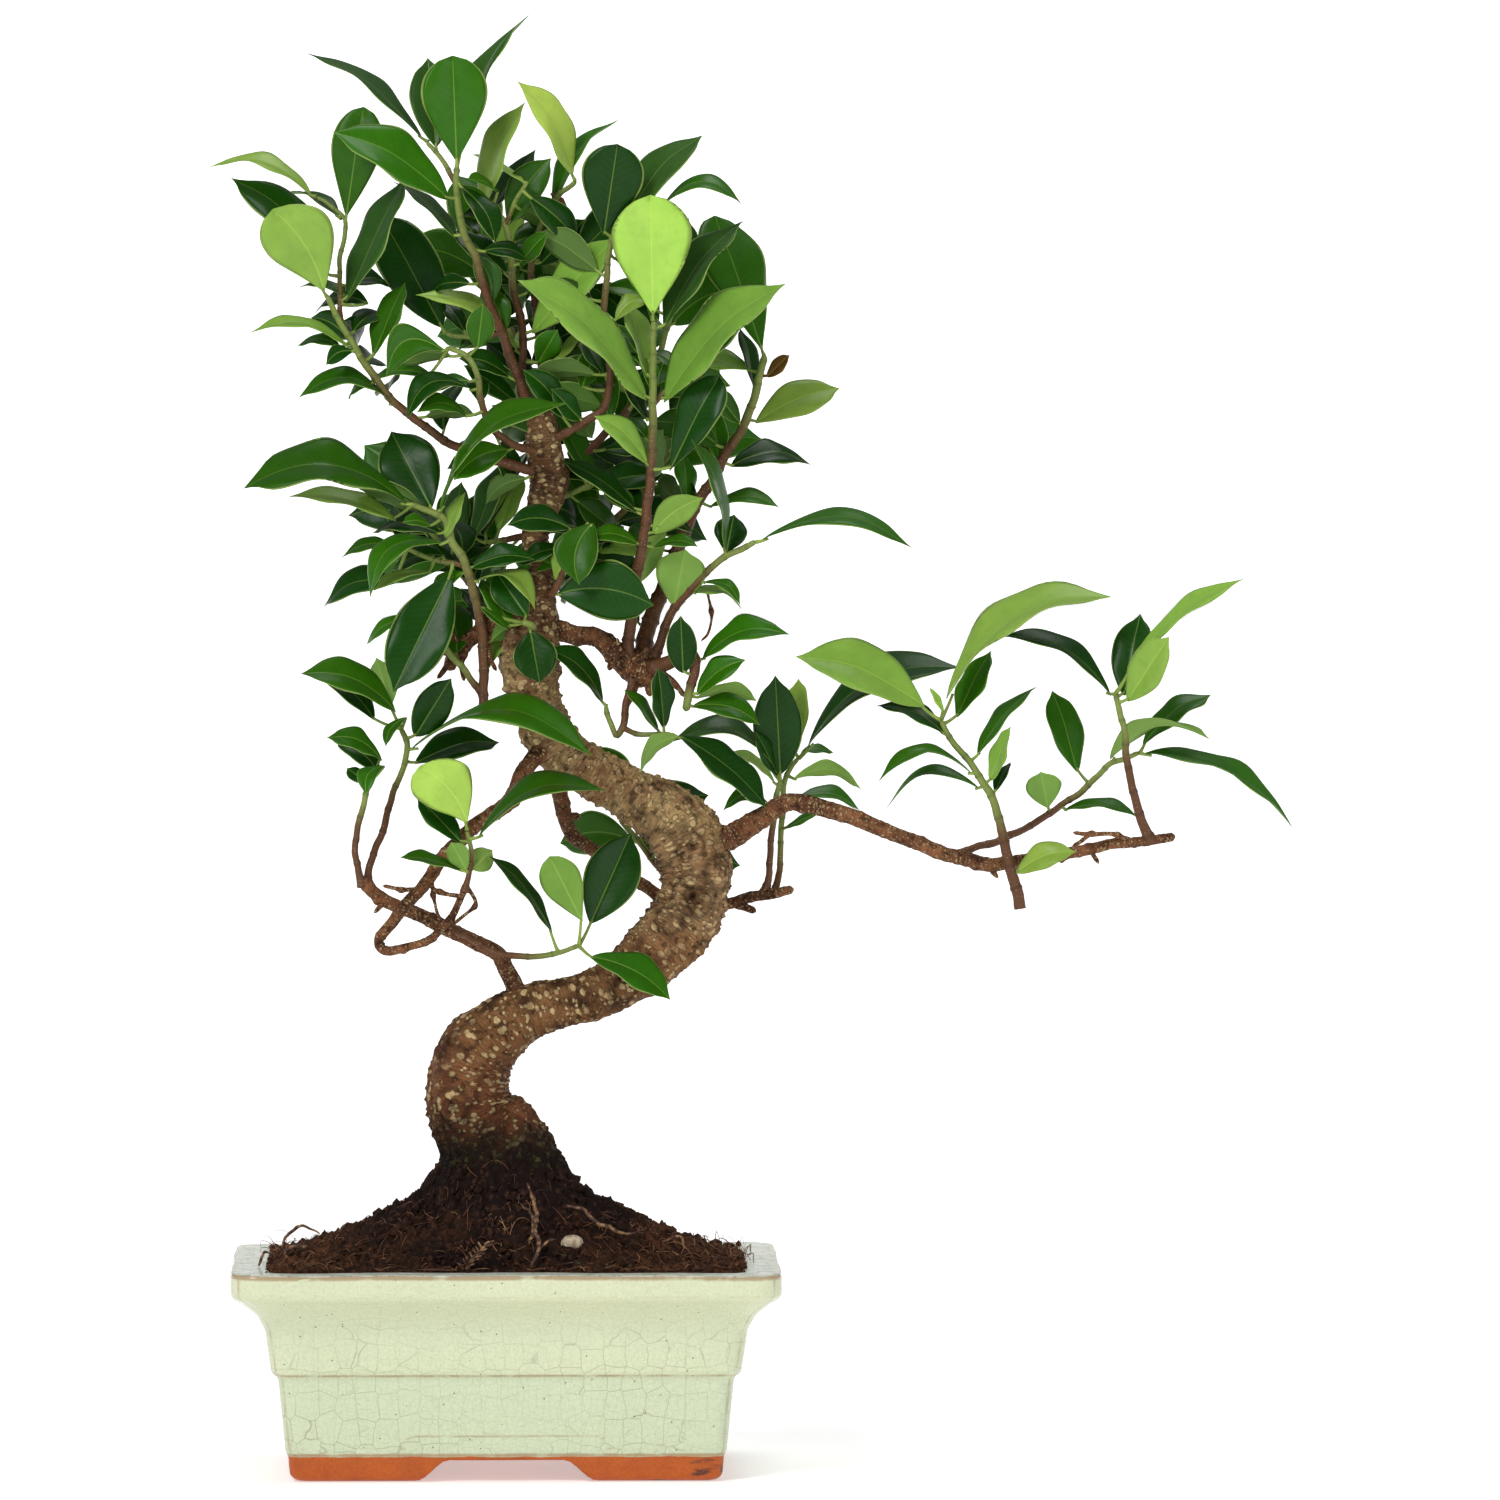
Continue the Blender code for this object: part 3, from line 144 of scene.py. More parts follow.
class Paint:
    """Builds one procedural material node by node."""

    def __init__(self, name, roughness, **fixed):
        self.mat = bpy.data.materials.new(name)
        self.mat.use_nodes = True
        self.tree = self.mat.node_tree
        self.shader = self.tree.nodes["Principled BSDF"]
        self.shader.inputs["Roughness"].default_value = roughness
        for key, value in fixed.items():
            self.shader.inputs[key.replace("_", " ")].default_value = value
        self.place = self.tree.nodes.new("ShaderNodeTexCoord").outputs["Object"]

    def link(self, value, socket):
        if isinstance(value, bpy.types.NodeSocket):
            self.tree.links.new(value, socket)
        else:
            socket.default_value = value

    def node(self, kind, out=0, settings=(), **inputs):
        made = self.tree.nodes.new("ShaderNode" + kind)
        for key, value in dict(settings).items():
            setattr(made, key, value)
        for key, value in inputs.items():
            name = key.replace("_", " ")
            self.link(value, made.inputs[int(name[1:]) if name[1:].isdigit() else name])
        return made.outputs[out]

    def math(self, operation, a, b=0.0, clamp=False):
        return self.node("Math", settings={"operation": operation, "use_clamp": clamp}, i0=a, i1=b)

    def times(self, a, b):
        return self.math("MULTIPLY", a, b)

    def plus(self, a, b):
        return self.math("ADD", a, b)

    def minus(self, a, b):
        return self.math("SUBTRACT", a, b)

    def scaled(self, vector, x, y, z):
        return self.node("Mapping", Vector=vector, Scale=(x, y, z))

    def attribute(self, name, out="Vector"):
        return self.node("Attribute", out, {"attribute_name": name})

    def split(self, vector, axis):
        return self.node("SeparateXYZ", axis, Vector=vector)

    def noise(self, vector, scale, detail=3.0, out="Fac", rough=0.55):
        return self.node("TexNoise", out, Vector=vector, Scale=scale, Detail=detail, Roughness=rough)

    def voronoi(self, vector, scale, out="Distance", feature="F1", jitter=1.0):
        return self.node("TexVoronoi", out, {"feature": feature}, Vector=vector, Scale=scale,
                         Randomness=jitter)

    def ramp(self, value, *stops):
        """Greys or colours at stops, as (position, grey or colour)."""
        made = self.tree.nodes.new("ShaderNodeValToRGB")
        self.link(value, made.inputs[0])
        bar = made.color_ramp.elements
        while len(bar) < len(stops):
            bar.new(0.5)
        for stop, (position, colour) in zip(bar, stops):
            stop.position = position
            stop.color = (colour,) * 3 + (1,) if isinstance(colour, (int, float)) else (*colour, 1)
        return made.outputs["Color"]

    def mix(self, share, a, b, blend="MIX"):
        made = self.tree.nodes.new("ShaderNodeMix")
        made.data_type, made.blend_type = "RGBA", blend
        for value, index in ((share, 0), (a, 6), (b, 7)):
            if isinstance(value, tuple):
                value = (*value, 1)
            self.link(value, made.inputs[index])
        return made.outputs[2]

    def bump(self, height, distance, strength=1.0, normal=None):
        made = self.tree.nodes.new("ShaderNodeBump")
        self.link(height, made.inputs["Height"])
        made.inputs["Distance"].default_value = distance
        made.inputs["Strength"].default_value = strength
        if normal:
            self.link(normal, made.inputs["Normal"])
        return made.outputs["Normal"]

    def done(self, colour, roughness=None, normal=None):
        self.link(colour, self.shader.inputs["Base Color"])
        if roughness is not None:
            self.link(roughness, self.shader.inputs["Roughness"])
        if normal is not None:
            self.link(normal, self.shader.inputs["Normal"])
        return self.mat


def ring(half_x, half_y, radius, long_side=64, short_side=46, corner=10):
    """Rounded rectangles [levels, around, 2] from each level's half sizes and corner radius."""
    signs = np.array([(1, 1), (-1, 1), (-1, -1), (1, -1)])
    place, angle = [], []
    for k in range(4):
        place.append(np.repeat(signs[k:k + 1], corner, 0))
        angle.append(np.pi / 2 * (k + np.linspace(0, 1, corner, endpoint=False)))
        share = np.linspace(0, 1, (long_side, short_side)[k % 2], endpoint=False)[:, None]
        place.append(signs[k] + (signs[(k + 1) % 4] - signs[k]) * share)
        angle.append(np.full(len(share), np.pi / 2 * (k + 1)))
    place, angle = np.concatenate(place), np.concatenate(angle)
    half_x, half_y, radius = half_x[:, None], half_y[:, None], radius[:, None]
    return np.stack([place[:, 0] * (half_x - radius) + radius * np.cos(angle),
                     place[:, 1] * (half_y - radius) + radius * np.sin(angle)], -1)


def soften(line, step, rounds):
    """A corner-to-corner profile resampled evenly and rounded at its corners."""
    run = run_along(line)
    even = np.linspace(0, run[-1], int(run[-1] / step))
    out = np.stack([np.interp(even, run, line[:, i]) for i in range(line.shape[1])], -1)
    for _ in range(rounds):
        out[1:-1] = out[:-2] / 4 + out[1:-1] / 2 + out[2:] / 4
    return out


def pot_surface():
    """The pot's skin as one closed sheet.

    A profile of (step in from the rim, height) runs from the middle of the underside out over
    the legs, up the outside, over the rim and down to the middle of the floor.  Each point of
    it is carried round a rounded rectangle.  Under an arch the legs' heights rise to ARCH_Z.
    Last come the pressed panel above the front and back arches and a hand-made unevenness.
    """
    g = POT_Z - FOOT_Z
    legs = [(0.0218 + LEG_WIDE, ARCH_Z), (0.0218 + LEG_WIDE, 0.0), (0.0240, 0.0), (0.0216, 0.0016),
            (0.0209, FOOT_Z - 0.0004), (0.0213, FOOT_Z), (0.0199, FOOT_Z + 0.0018)]
    wall = [(0.0172, FOOT_Z + 0.428 * g), (0.0168, FOOT_Z + 0.436 * g), (0.0148, FOOT_Z + 0.450 * g),
            (0.0125, FOOT_Z + 0.690 * g), (0.0095, FOOT_Z + 0.770 * g), (0.0040, FOOT_Z + 0.835 * g),
            (0.0003, FOOT_Z + 0.868 * g), (0.0, FOOT_Z + 0.890 * g), (0.0, POT_Z), (RIM_WIDE, POT_Z),
            (RIM_WIDE + 0.0015, POT_Z * 0.80), (WALL_IN - 0.0045, POT_Z * 0.62),
            (WALL_IN + 0.0010, FLOOR_Z + 0.004), (WALL_IN + 0.0050, FLOOR_Z)]
    profile = soften(np.array([(0.052, ARCH_Z)] + legs + wall + [(0.052, FLOOR_Z)]), 0.0008, 3)
    step, height = profile[:, 0], profile[:, 1]
    corner = np.clip(0.010 - step * 0.25, 0.003, None)
    flat = ring(POT_X - step, POT_Y - step, corner)
    x, y = flat[..., 0], flat[..., 1]
    z = np.repeat(height[:, None], flat.shape[1], 1)
    edge = np.abs(flat[step.argmin()])
    front = edge[:, 1] > POT_Y - 0.0001
    end = edge[:, 0] > POT_X - 0.0001
    arch = np.maximum(smooth(ARCH_FRONT - np.abs(x), 0, 0.012) * front,
                      smooth(ARCH_END - np.abs(y), 0, 0.012) * end) * ARCH_Z
    low = np.arange(len(step)) < np.argmax(height > FOOT_Z + 0.002)
    z = np.where(low[:, None], np.maximum(z, arch), z)
    # The pressed panel: its top edge is at 17 mm and its ends run down to the glaze line.
    outside = (np.arange(len(step)) > np.argmax(height > FOOT_Z)) & (step > 0.0165) & (step < 0.0215)
    panel = (smooth(0.0176 - z, 0, 0.0018) * smooth(0.0355 + (0.017 - z) * 0.6 - np.abs(x), 0, 0.0015)
             * (np.abs(y) > POT_Y - 0.0225) * outside[:, None])
    y = y - np.sign(y) * panel * 0.0006
    points = np.stack([x, y, z], -1)
    uneven = sines(points, 0.045, 1)[..., None] * 0.00022 + sines(points, 0.012, 2)[..., None] * 0.00004
    away = np.stack([x / POT_X, y / POT_Y, np.zeros_like(z)], -1)
    lift = (z > 0.074) * sines(points * [1, 1, 0], 0.07, 3) * 0.00025 - (z > 0.074) * 0.0002
    points = points + away * uneven * (z > 0.002)[..., None]
    points[..., 2] += lift
    # wear: how near each point is to an edge where the glaze runs thin; bare: unglazed clay.
    wear = np.zeros_like(step)
    for at_step, at_height, wide, strong in (
            (0.0, POT_Z - 0.0008, 0.0012, 1.0), (0.0, FOOT_Z + 0.880 * g, 0.0007, 0.5),
            (0.0158, FOOT_Z + 0.444 * g, 0.0009, 0.75), (RIM_WIDE, POT_Z, 0.0013, 0.8),
            (0.0206, FOOT_Z + 0.0010, 0.0008, 1.0)):
        gap = (step - at_step) ** 2 + (height - at_height) ** 2
        wear = np.maximum(wear, strong * np.exp(-gap / wide ** 2))
    inside = np.arange(len(step)) > np.argmax(height > POT_Z - 0.0003)
    wear = np.repeat(wear[:, None], flat.shape[1], 1)
    wear = np.maximum(wear, hump(panel - 0.5, 0.45) * (panel > 0.02) * 0.62)
    turned = np.minimum(POT_X - step[:, None] - np.abs(x), POT_Y - step[:, None] - np.abs(y))
    bend_at = hump(np.abs(x) - np.abs(y) - (POT_X - POT_Y), 0.0016) * (turned < 0.004)
    wear = np.maximum(wear, bend_at * 0.55 * (z > FOOT_Z) * ~inside[:, None])
    flags = np.stack([wear, np.repeat((inside * 1.0)[:, None], flat.shape[1], 1),
                      (z > POT_Z - 0.0006) * 1.0], -1)
    return points + [pot_x, pot_y, 0], flags


pot_points, pot_flags = pot_surface()
pot = join_sheets("pot_glazed", [(pot_points, {}, 0, True, True)])
for side in (-1, 1):
    bm = bmesh.new()
    bmesh.ops.create_cone(bm, cap_ends=True, segments=48, radius1=DRAIN_BOTTOM, radius2=DRAIN_TOP,
                          depth=0.04)
    bmesh.ops.translate(bm, verts=bm.verts[:], vec=(pot_x + side * DRAIN_X, pot_y, FLOOR_Z))
    punch_mesh = bpy.data.meshes.new("punch")
    bm.to_mesh(punch_mesh)
    bm.free()
    punch = linked("punch", punch_mesh)
    cut = pot.modifiers.new("hole", "BOOLEAN")
    cut.object, cut.operation, cut.solver = punch, "DIFFERENCE", "EXACT"
    bpy.context.view_layer.objects.active = pot
    bpy.ops.object.modifier_apply(modifier=cut.name)
    bpy.data.objects.remove(punch, do_unlink=True)
# The cut drops attributes, so each corner that it kept looks its flags up by its place.
known = dict(zip(map(tuple, (pot_points.reshape(-1, 3) * 1e6).astype(np.float32).round(-1).tolist()),
                 pot_flags.reshape(-1, 3).tolist()))
spots = [tuple((np.array(v.co) * 1e6).astype(np.float32).round(-1).tolist()) for v in pot.data.vertices]
layer = pot.data.attributes.new("flags", "FLOAT_VECTOR", "POINT")
layer.data.foreach_set("vector", np.array([known.get(s, (0, 0, 0)) for s in spots], np.float32).ravel())


def pot_material():
    """Mint glaze with a crackle net and brown edges, over bare orange clay at the foot."""
    p = Paint("glaze_and_clay", 0.2, Specular_IOR_Level=0.35, Coat_Weight=0.2, Coat_Roughness=0.06)
    flags = p.attribute("flags")
    wear, top = p.split(flags, 0), p.split(flags, 2)
    z = p.split(p.place, 2)
    cloud = p.noise(p.place, 22, 4)
    grain = p.noise(p.place, 1100, 3)
    glaze = p.mix(cloud, (0.545, 0.585, 0.395), (0.640, 0.660, 0.450))
    # The glaze pools bluer in hollows and yellows on the lip.
    pool = p.ramp(p.times(z, 12.0), (0.10, 0.9), (0.20, 0.7), (0.45, 0.8), (0.475, 0.2),
                  (0.62, 0.4), (0.80, 0.0), (0.90, 0.0))
    glaze = p.mix(p.times(pool, 0.65), glaze, (0.495, 0.585, 0.425))
    glaze = p.mix(p.ramp(grain, (0.42, 0.0), (0.72, 0.30)), glaze, (0.330, 0.380, 0.230))
    # Crazing: a net of slightly bent lines, squarish, with a finer and fainter one inside it.
    waver = p.noise(p.place, 110, 2, "Color")
    bent = p.node("VectorMath", settings={"operation": "MULTIPLY_ADD"}, i0=waver,
                  i1=(0.0022, 0.0022, 0.0022), i2=p.place)
    lines = 0.0
    for scale, jitter, width, strength in (
            (122, 0.42, 0.011, 1.0), (235, 0.55, 0.013, 0.6), (430, 0.9, 0.018, 0.35)):
        net = p.voronoi(p.scaled(bent, 1.1, 1.0, 0.9), scale, feature="DISTANCE_TO_EDGE", jitter=jitter)
        here = p.ramp(p.noise(p.place, 20 + scale * 0.1, 2), (0.30, 0.25 * strength), (0.60, strength))
        net = p.times(p.ramp(net, (0.0, 1.0), (width, 0.5), (width * 2.0, 0.0)), here)
        lines = p.math("MAXIMUM", net, lines)
    lower = p.ramp(p.times(z, 12.0), (0.12, 1.0), (0.55, 0.85), (0.72, 0.30))
    lines = p.times(lines, lower)
    glaze = p.mix(p.times(lines, 0.70), glaze, (0.200, 0.195, 0.105))
    dots = p.ramp(p.voronoi(p.place, 520), (0.0, 1.0), (0.12, 1.0), (0.19, 0.0))
    rare = p.math("GREATER_THAN", p.split(p.voronoi(p.place, 520, "Color"), 0), 0.93)
    glaze = p.mix(p.times(p.times(dots, rare), 0.8), glaze, (0.075, 0.060, 0.032))
    # The rim's flat top is whiter, with pale deposits and grains of soil on it.
    chalk = p.mix(p.ramp(p.noise(p.place, 170, 5), (0.40, 0.0), (0.60, 1.0)),
                  (0.50, 0.56, 0.45), (0.74, 0.76, 0.68))
    glaze = p.mix(p.times(top, 0.92), glaze, chalk)
    dirt = p.ramp(p.noise(p.place, 520, 4), (0.58, 0.0), (0.66, 1.0))
    glaze = p.mix(p.times(p.times(dirt, top), 0.8), glaze, (0.11, 0.085, 0.055))
    # Glaze runs thin along edges, and the brown body shows through.
    broken = p.times(wear, p.ramp(p.noise(p.place, 130, 3), (0.28, 0.45), (0.55, 1.0)))
    glaze = p.mix(p.ramp(broken, (0.26, 0.0), (0.70, 0.78)), glaze, (0.330, 0.215, 0.110))
    clay = p.mix(p.noise(p.place, 120, 5), (0.330, 0.052, 0.0006), (0.530, 0.108, 0.0015))
    clay = p.mix(p.ramp(grain, (0.40, 0.0), (0.75, 0.45)), clay, (0.22, 0.030, 0.001))
    smudge = p.ramp(p.noise(p.scaled(p.place, 0.5, 1, 1.6), 75, 5), (0.52, 0.0), (0.58, 0.9))
    right = p.ramp(p.times(p.minus(p.split(p.place, 0), pot_x), 10.0), (0.30, 0.10), (0.48, 1.0))
    clay = p.mix(p.times(smudge, right), clay, (0.035, 0.014, 0.009))
    line = p.plus(z, p.times(p.noise(p.place, 110, 3), 0.0012))
    bare = p.math("LESS_THAN", line, FOOT_Z + 0.0009)
    drip = p.times(p.ramp(p.times(line, 80.0), (0.77, 1.0), (0.86, 0.0)), 0.6)
    glaze = p.mix(drip, glaze, (0.33, 0.20, 0.10))
    rough = p.mix(bare, p.mix(top, (0.17,) * 3, (0.45,) * 3), (0.62,) * 3)
    height = p.minus(p.times(cloud, 0.6), p.times(lines, 0.25))
    normal = p.bump(height, 0.0007, 0.5, p.bump(p.noise(p.place, 260, 3), 0.00012, 0.6))
    return p.done(p.mix(bare, glaze, clay), rough, normal)


pot.data.materials.append(pot_material())
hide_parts("pot")
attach(pot, "root")

# ---- Drainage meshes ----------------------------------------------------------------------
# Two squares of black plastic net, laid loose over the drainage holes before the soil went in.
# Only their undersides show, through the holes.


def net_material():
    """Black moulded plastic, dusty from the soil."""
    p = Paint("black_net", 0.55)
    dust = p.ramp(p.noise(p.place, 300, 4), (0.45, 0.0), (0.75, 0.7))
    return p.done(p.mix(dust, (0.012, 0.012, 0.013), (0.07, 0.05, 0.035)),
                  normal=p.bump(p.noise(p.place, 900), 0.0002))


net_paint = net_material()
for name in ("drainage_mesh_left", "drainage_mesh_right"):
    bpy.data.objects[name].data.materials.clear()
    bpy.data.objects[name].data.materials.append(net_paint)

# ---- Soil ---------------------------------------------------------------------------------
# Dark, crumbly bonsai compost, mounded up to the trunk and level with the rim at the edge.
# Crumbs and torn root fibres lie loose on it; nothing but its own weight holds it.
MOUND_Z, INNER_X, INNER_Y = 0.038, POT_X - RIM_WIDE, POT_Y - RIM_WIDE
# The soil's greatest height over a root, and at the collar round the trunk.
OVER_ROOT_Z, COLLAR_Z = 0.1165, 0.1175
CRUMBS, FIBRES = 5200, 900
# Surface roots under the soil, as (x, y, z, radius) in millimetres from the pot's middle.
ROOTS = [
    [(4, -6, 112, 10), (14, -16, 99, 8), (22, -25, 87, 5), (28, -32, 76, 2)],
    [(6, 4, 115, 10), (17, 8, 102, 8), (29, 11, 89, 5), (40, 14, 77, 2)],
    [(-6, -6, 112, 10), (-16, -18, 98, 7), (-24, -26, 86, 4.5), (-30, -32, 76, 2)],
    [(-8, 4, 114, 10), (-22, 8, 101, 7.5), (-34, 10, 88, 5), (-44, 12, 77, 2)],
    [(0, 8, 112, 10), (4, 20, 98, 7), (8, 30, 86, 4.5), (10, 38, 76, 2)],
]


def mound(x, y):
    """Height of the soil over the bench, for x and y from the pot's middle.

    It falls from the trunk to the rim on an ellipse, and rises over each buried root as a
    parabola across the root and to a collar round the foot of the trunk.
    """
    spread = np.hypot(x / INNER_X, y / INNER_Y)
    level = POT_Z - 0.001 + MOUND_Z * np.clip(1 - spread ** 1.15, 0, None) ** 1.25
    for root in ROOTS:
        for a, b in zip(root, root[1:]):
            for share in (0.0, 0.25, 0.5, 0.75):
                rx, ry, rz, r = (v / 1000 for v in (a[i] + (b[i] - a[i]) * share for i in range(4)))
                gap = np.hypot(x - rx, y - ry)
                crest = np.minimum(rz + r + 0.0010, OVER_ROOT_Z)
                level = np.maximum(level, crest - gap ** 2 / (1.15 * r + 0.002))
    collar = COLLAR_Z - 1.35 * np.clip(np.hypot(x + 0.001, y + 0.001) - 0.0165, 0, None)
    return np.maximum(level, collar)


def lumps(points, size, seed):
    """Rounded crumb heights: the folded product of two sets of waves."""
    a, b = sines(points, size, seed), sines(points, size * 0.7, seed + 1)
    return np.abs(a) * 0.6 + np.abs(b) * 0.4


def soil_sheet():
    """The mound's skin: rings that shrink from the pot's inner edge to the trunk, roughened."""
    share = np.r_[1.0, 1.0, np.linspace(0.992, 0.04, 150)]
    edge = ring(np.array([INNER_X - 0.0004]), np.array([INNER_Y - 0.0004]), np.array([0.0068]),
                120, 84, 12)[0]
    flat = edge[None] * share[:, None, None]
    x, y = flat[..., 0], flat[..., 1]
    z = mound(x, y)
    spot = np.stack([x, y, z * 0], -1)
    rough = (lumps(spot, 0.011, 11) * 0.0024 + lumps(spot, 0.0048, 13) * 0.0014
             + lumps(spot, 0.0021, 17) * 0.0007 - 0.0018)
    inward = smooth(1 - share, 0, 0.05)[:, None]
    z = z + rough * (0.45 + 0.75 * inward) + 0.0012 * smooth(sines(spot, 0.03, 19), 0.2, 1.0) * inward
    z[0] = POT_Z - 0.012
    return np.stack([x + pot_x, y + pot_y, z], -1)


def loose_crumbs(rng, count):
    """Crumbs as dented icosahedra sitting on the mound, more of them near the rim and trunk."""
    bm = bmesh.new()
    bmesh.ops.create_icosphere(bm, subdivisions=1, radius=1)
    ball = np.array([v.co for v in bm.verts])
    faces = np.array([[v.index for v in f.verts] for f in bm.faces])
    bm.free()
    spread = rng.uniform(0, 1, count) ** 0.62
    angle = rng.uniform(0, 2 * np.pi, count)
    square = np.maximum(np.abs(np.cos(angle)), np.abs(np.sin(angle)))
    x = spread * np.cos(angle) / square * (INNER_X + 0.001)
    y = spread * np.sin(angle) / square * (INNER_Y + 0.001)
    size = rng.gamma(2.2, 0.00038, count).clip(0.0003, 0.0030)
    clods = rng.random(count) < 0.05 * (np.abs(x) > 0.045)
    size = np.where(clods, rng.uniform(0.0014, 0.0030, count), size)
    shape = ball[None] * rng.uniform(0.55, 1.1, (count, 1, 3))
    shape = shape * rng.uniform(0.75, 1.2, (count, len(ball), 1))
    middle = np.stack([x + pot_x, y + pot_y, mound(x, y) + size * 0.2 + 0.0006], -1)
    points = middle[:, None] + shape * size[:, None, None]
    links = faces[None] + (np.arange(count) * len(ball))[:, None, None]
    return points.reshape(-1, 3), links.reshape(-1, 3)


def strand_frames(path):
    """Two directions across each point of many paths [n, steps, 3]."""
    along = np.gradient(path, axis=1)
    along /= np.linalg.norm(along, axis=-1, keepdims=True) + 1e-12
    side = np.cross(along, np.array([0.31, 0.17, 0.93]))
    side /= np.linalg.norm(side, axis=-1, keepdims=True) + 1e-12
    return side, np.cross(along, side)


def fibres(rng, count):
    """Torn root fibres: bent three-sided strands that lie on the mound and curl up off it."""
    steps = 9
    t = np.linspace(0, 1, steps)
    spread, angle = rng.uniform(0.30, 1.02, count) ** 0.8, rng.uniform(0, 2 * np.pi, count)
    square = np.maximum(np.abs(np.cos(angle)), np.abs(np.sin(angle)))
    x0, y0 = spread * np.cos(angle) / square * INNER_X, spread * np.sin(angle) / square * INNER_Y
    length = rng.gamma(3.0, 0.0028, count).clip(0.003, 0.018)
    head, curl = rng.uniform(0, 2 * np.pi, count), rng.normal(0, 1.0, count)
    way = head[:, None] + curl[:, None] * t
    x = x0[:, None] + np.cumsum(np.cos(way), 1) * length[:, None] / steps
    y = y0[:, None] + np.cumsum(np.sin(way), 1) * length[:, None] / steps
    x, y = x.clip(-INNER_X - 0.004, INNER_X + 0.004), y.clip(-INNER_Y - 0.004, INNER_Y + 0.004)
    tall = 0.0016 + 0.0034 * smooth(np.abs(x0), 0.050, 0.078)
    hop = (rng.uniform(0.0, 1.0, count) * tall)[:, None]
    hop = hop * np.sin(np.pi * t * rng.uniform(0.6, 1.4, (count, 1)))
    z = np.maximum(mound(x, y), POT_Z - 0.0002) + 0.0008 + np.abs(hop)
    path = np.stack([x + pot_x, y + pot_y, z], -1)
    side, top = strand_frames(path)
    thick = rng.uniform(0.00008, 0.00026, count)[:, None] * (1 - 0.6 * t)
    turn = np.arange(3) * 2 * np.pi / 3
    loops = path[:, :, None] + thick[..., None, None] * (
        side[:, :, None] * np.cos(turn)[:, None] + top[:, :, None] * np.sin(turn)[:, None])
    start = (np.arange(count)[:, None, None] * steps + np.arange(steps - 1)[None, :, None]) * 3
    k = np.arange(3)
    nxt = (k + 1) % 3
    quads = np.stack([start + k, start + nxt, start + 3 + nxt, start + 3 + k], -1).reshape(-1, 4)
    first = np.arange(count)[:, None] * steps * 3
    ends = np.concatenate([first + [2, 1, 0], first + (steps - 1) * 3 + [0, 1, 2]])
    return loops.reshape(-1, 3), quads, ends


def soil_object():
    """The mound, its crumbs and its fibres as one piece with three materials."""
    sheet = soil_sheet()
    n, m = sheet.shape[:2]
    index = np.arange(n * m).reshape(n, m)
    right = np.roll(index, -1, 1)
    faces = np.stack([index[:-1], right[:-1], right[1:], index[1:]], -1).reshape(-1, 4)
    rng = np.random.default_rng(5)
    crumb_points, crumb_faces = loose_crumbs(rng, CRUMBS)
    strand_points, strand_quads, strand_ends = fibres(rng, FIBRES)
    floor = np.array([[pot_x, pot_y, POT_Z - 0.014]])
    last = n * m
    lid = [[a, b, last] for a, b in zip(index[-1].tolist(), right[-1].tolist())]
    base = [[b, a, last] for a, b in zip(index[0].tolist(), right[0].tolist())]
    c0 = last + 1
    s0 = c0 + len(crumb_points)
    all_faces = (faces.tolist() + lid + base + (crumb_faces + c0).tolist()
                 + (strand_quads + s0).tolist() + (strand_ends + s0).tolist())
    mesh = bpy.data.meshes.new("soil_mound")
    mesh.from_pydata(np.concatenate([sheet.reshape(-1, 3), floor, crumb_points, strand_points]).tolist(),
                     [], all_faces)
    ground, crumb = len(faces) + len(lid) + len(base), len(crumb_faces)
    slots = np.r_[np.zeros(ground), np.ones(crumb), np.full(len(all_faces) - ground - crumb, 2)]
    mesh.polygons.foreach_set("material_index", slots.astype(int))
    mesh.polygons.foreach_set("use_smooth", slots != 1)
    return linked("soil_mound", mesh)


def soil_material(name, dark, light, share):
    """Compost: near black when damp, with reddish-brown flecks."""
    p = Paint(name, 0.85, Specular_IOR_Level=0.12)
    grain = p.noise(p.place, 420, 6)
    patch = p.noise(p.place, 45, 3)
    fleck = p.ramp(p.voronoi(p.place, 700, "Color"), (0.72, 0.0), (0.80, 1.0))
    colour = p.mix(p.times(grain, patch), dark, light)
    # Drier and redder away from the trunk, where old roots have broken down.
    flat = p.node("Mapping", Vector=p.place, Location=(-10.0 * pot_x, 0.0, 0.0), Scale=(10.0, 8.5, 0.0))
    out = p.plus(p.node("VectorMath", 1, {"operation": "LENGTH"}, i0=flat),
                 p.times(p.minus(patch, 0.5), 0.9))
    dry = p.times(p.ramp(out, (0.34, 0.0), (0.90, 1.0)), p.ramp(grain, (0.42, 0.15), (0.62, 1.0)))
    colour = p.mix(p.times(dry, 0.72), colour, (0.135, 0.052, 0.021))
    colour = p.mix(p.times(fleck, share), colour, (0.13, 0.055, 0.026))
    return p.done(colour, normal=p.bump(p.noise(p.place, 1100, 5), 0.0007, 0.9))


def fibre_material():
    """Dry root fibre and threads of moss, from green and tan to dark red-brown along the pot."""
    p = Paint("root_fibre", 0.8)
    shade = p.noise(p.place, 90, 2)
    colour = p.ramp(shade, (0.28, (0.085, 0.080, 0.024)), (0.38, (0.050, 0.020, 0.010)),
                    (0.52, (0.17, 0.062, 0.024)), (0.68, (0.34, 0.19, 0.090)))
    return p.done(colour)


soil = soil_object()
soil.data.materials.append(soil_material(
    "compost", (0.0045, 0.0022, 0.0018), (0.026, 0.012, 0.008), 0.22))
soil.data.materials.append(soil_material(
    "compost_crumbs", (0.006, 0.0028, 0.0022), (0.042, 0.018, 0.011), 0.32))
soil.data.materials.append(fibre_material())
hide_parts("soil")
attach(soil, "root")

# ---- Pebble and loose roots ---------------------------------------------------------------
# A worn beige stone and two dead surface roots lie half sunk in the soil.


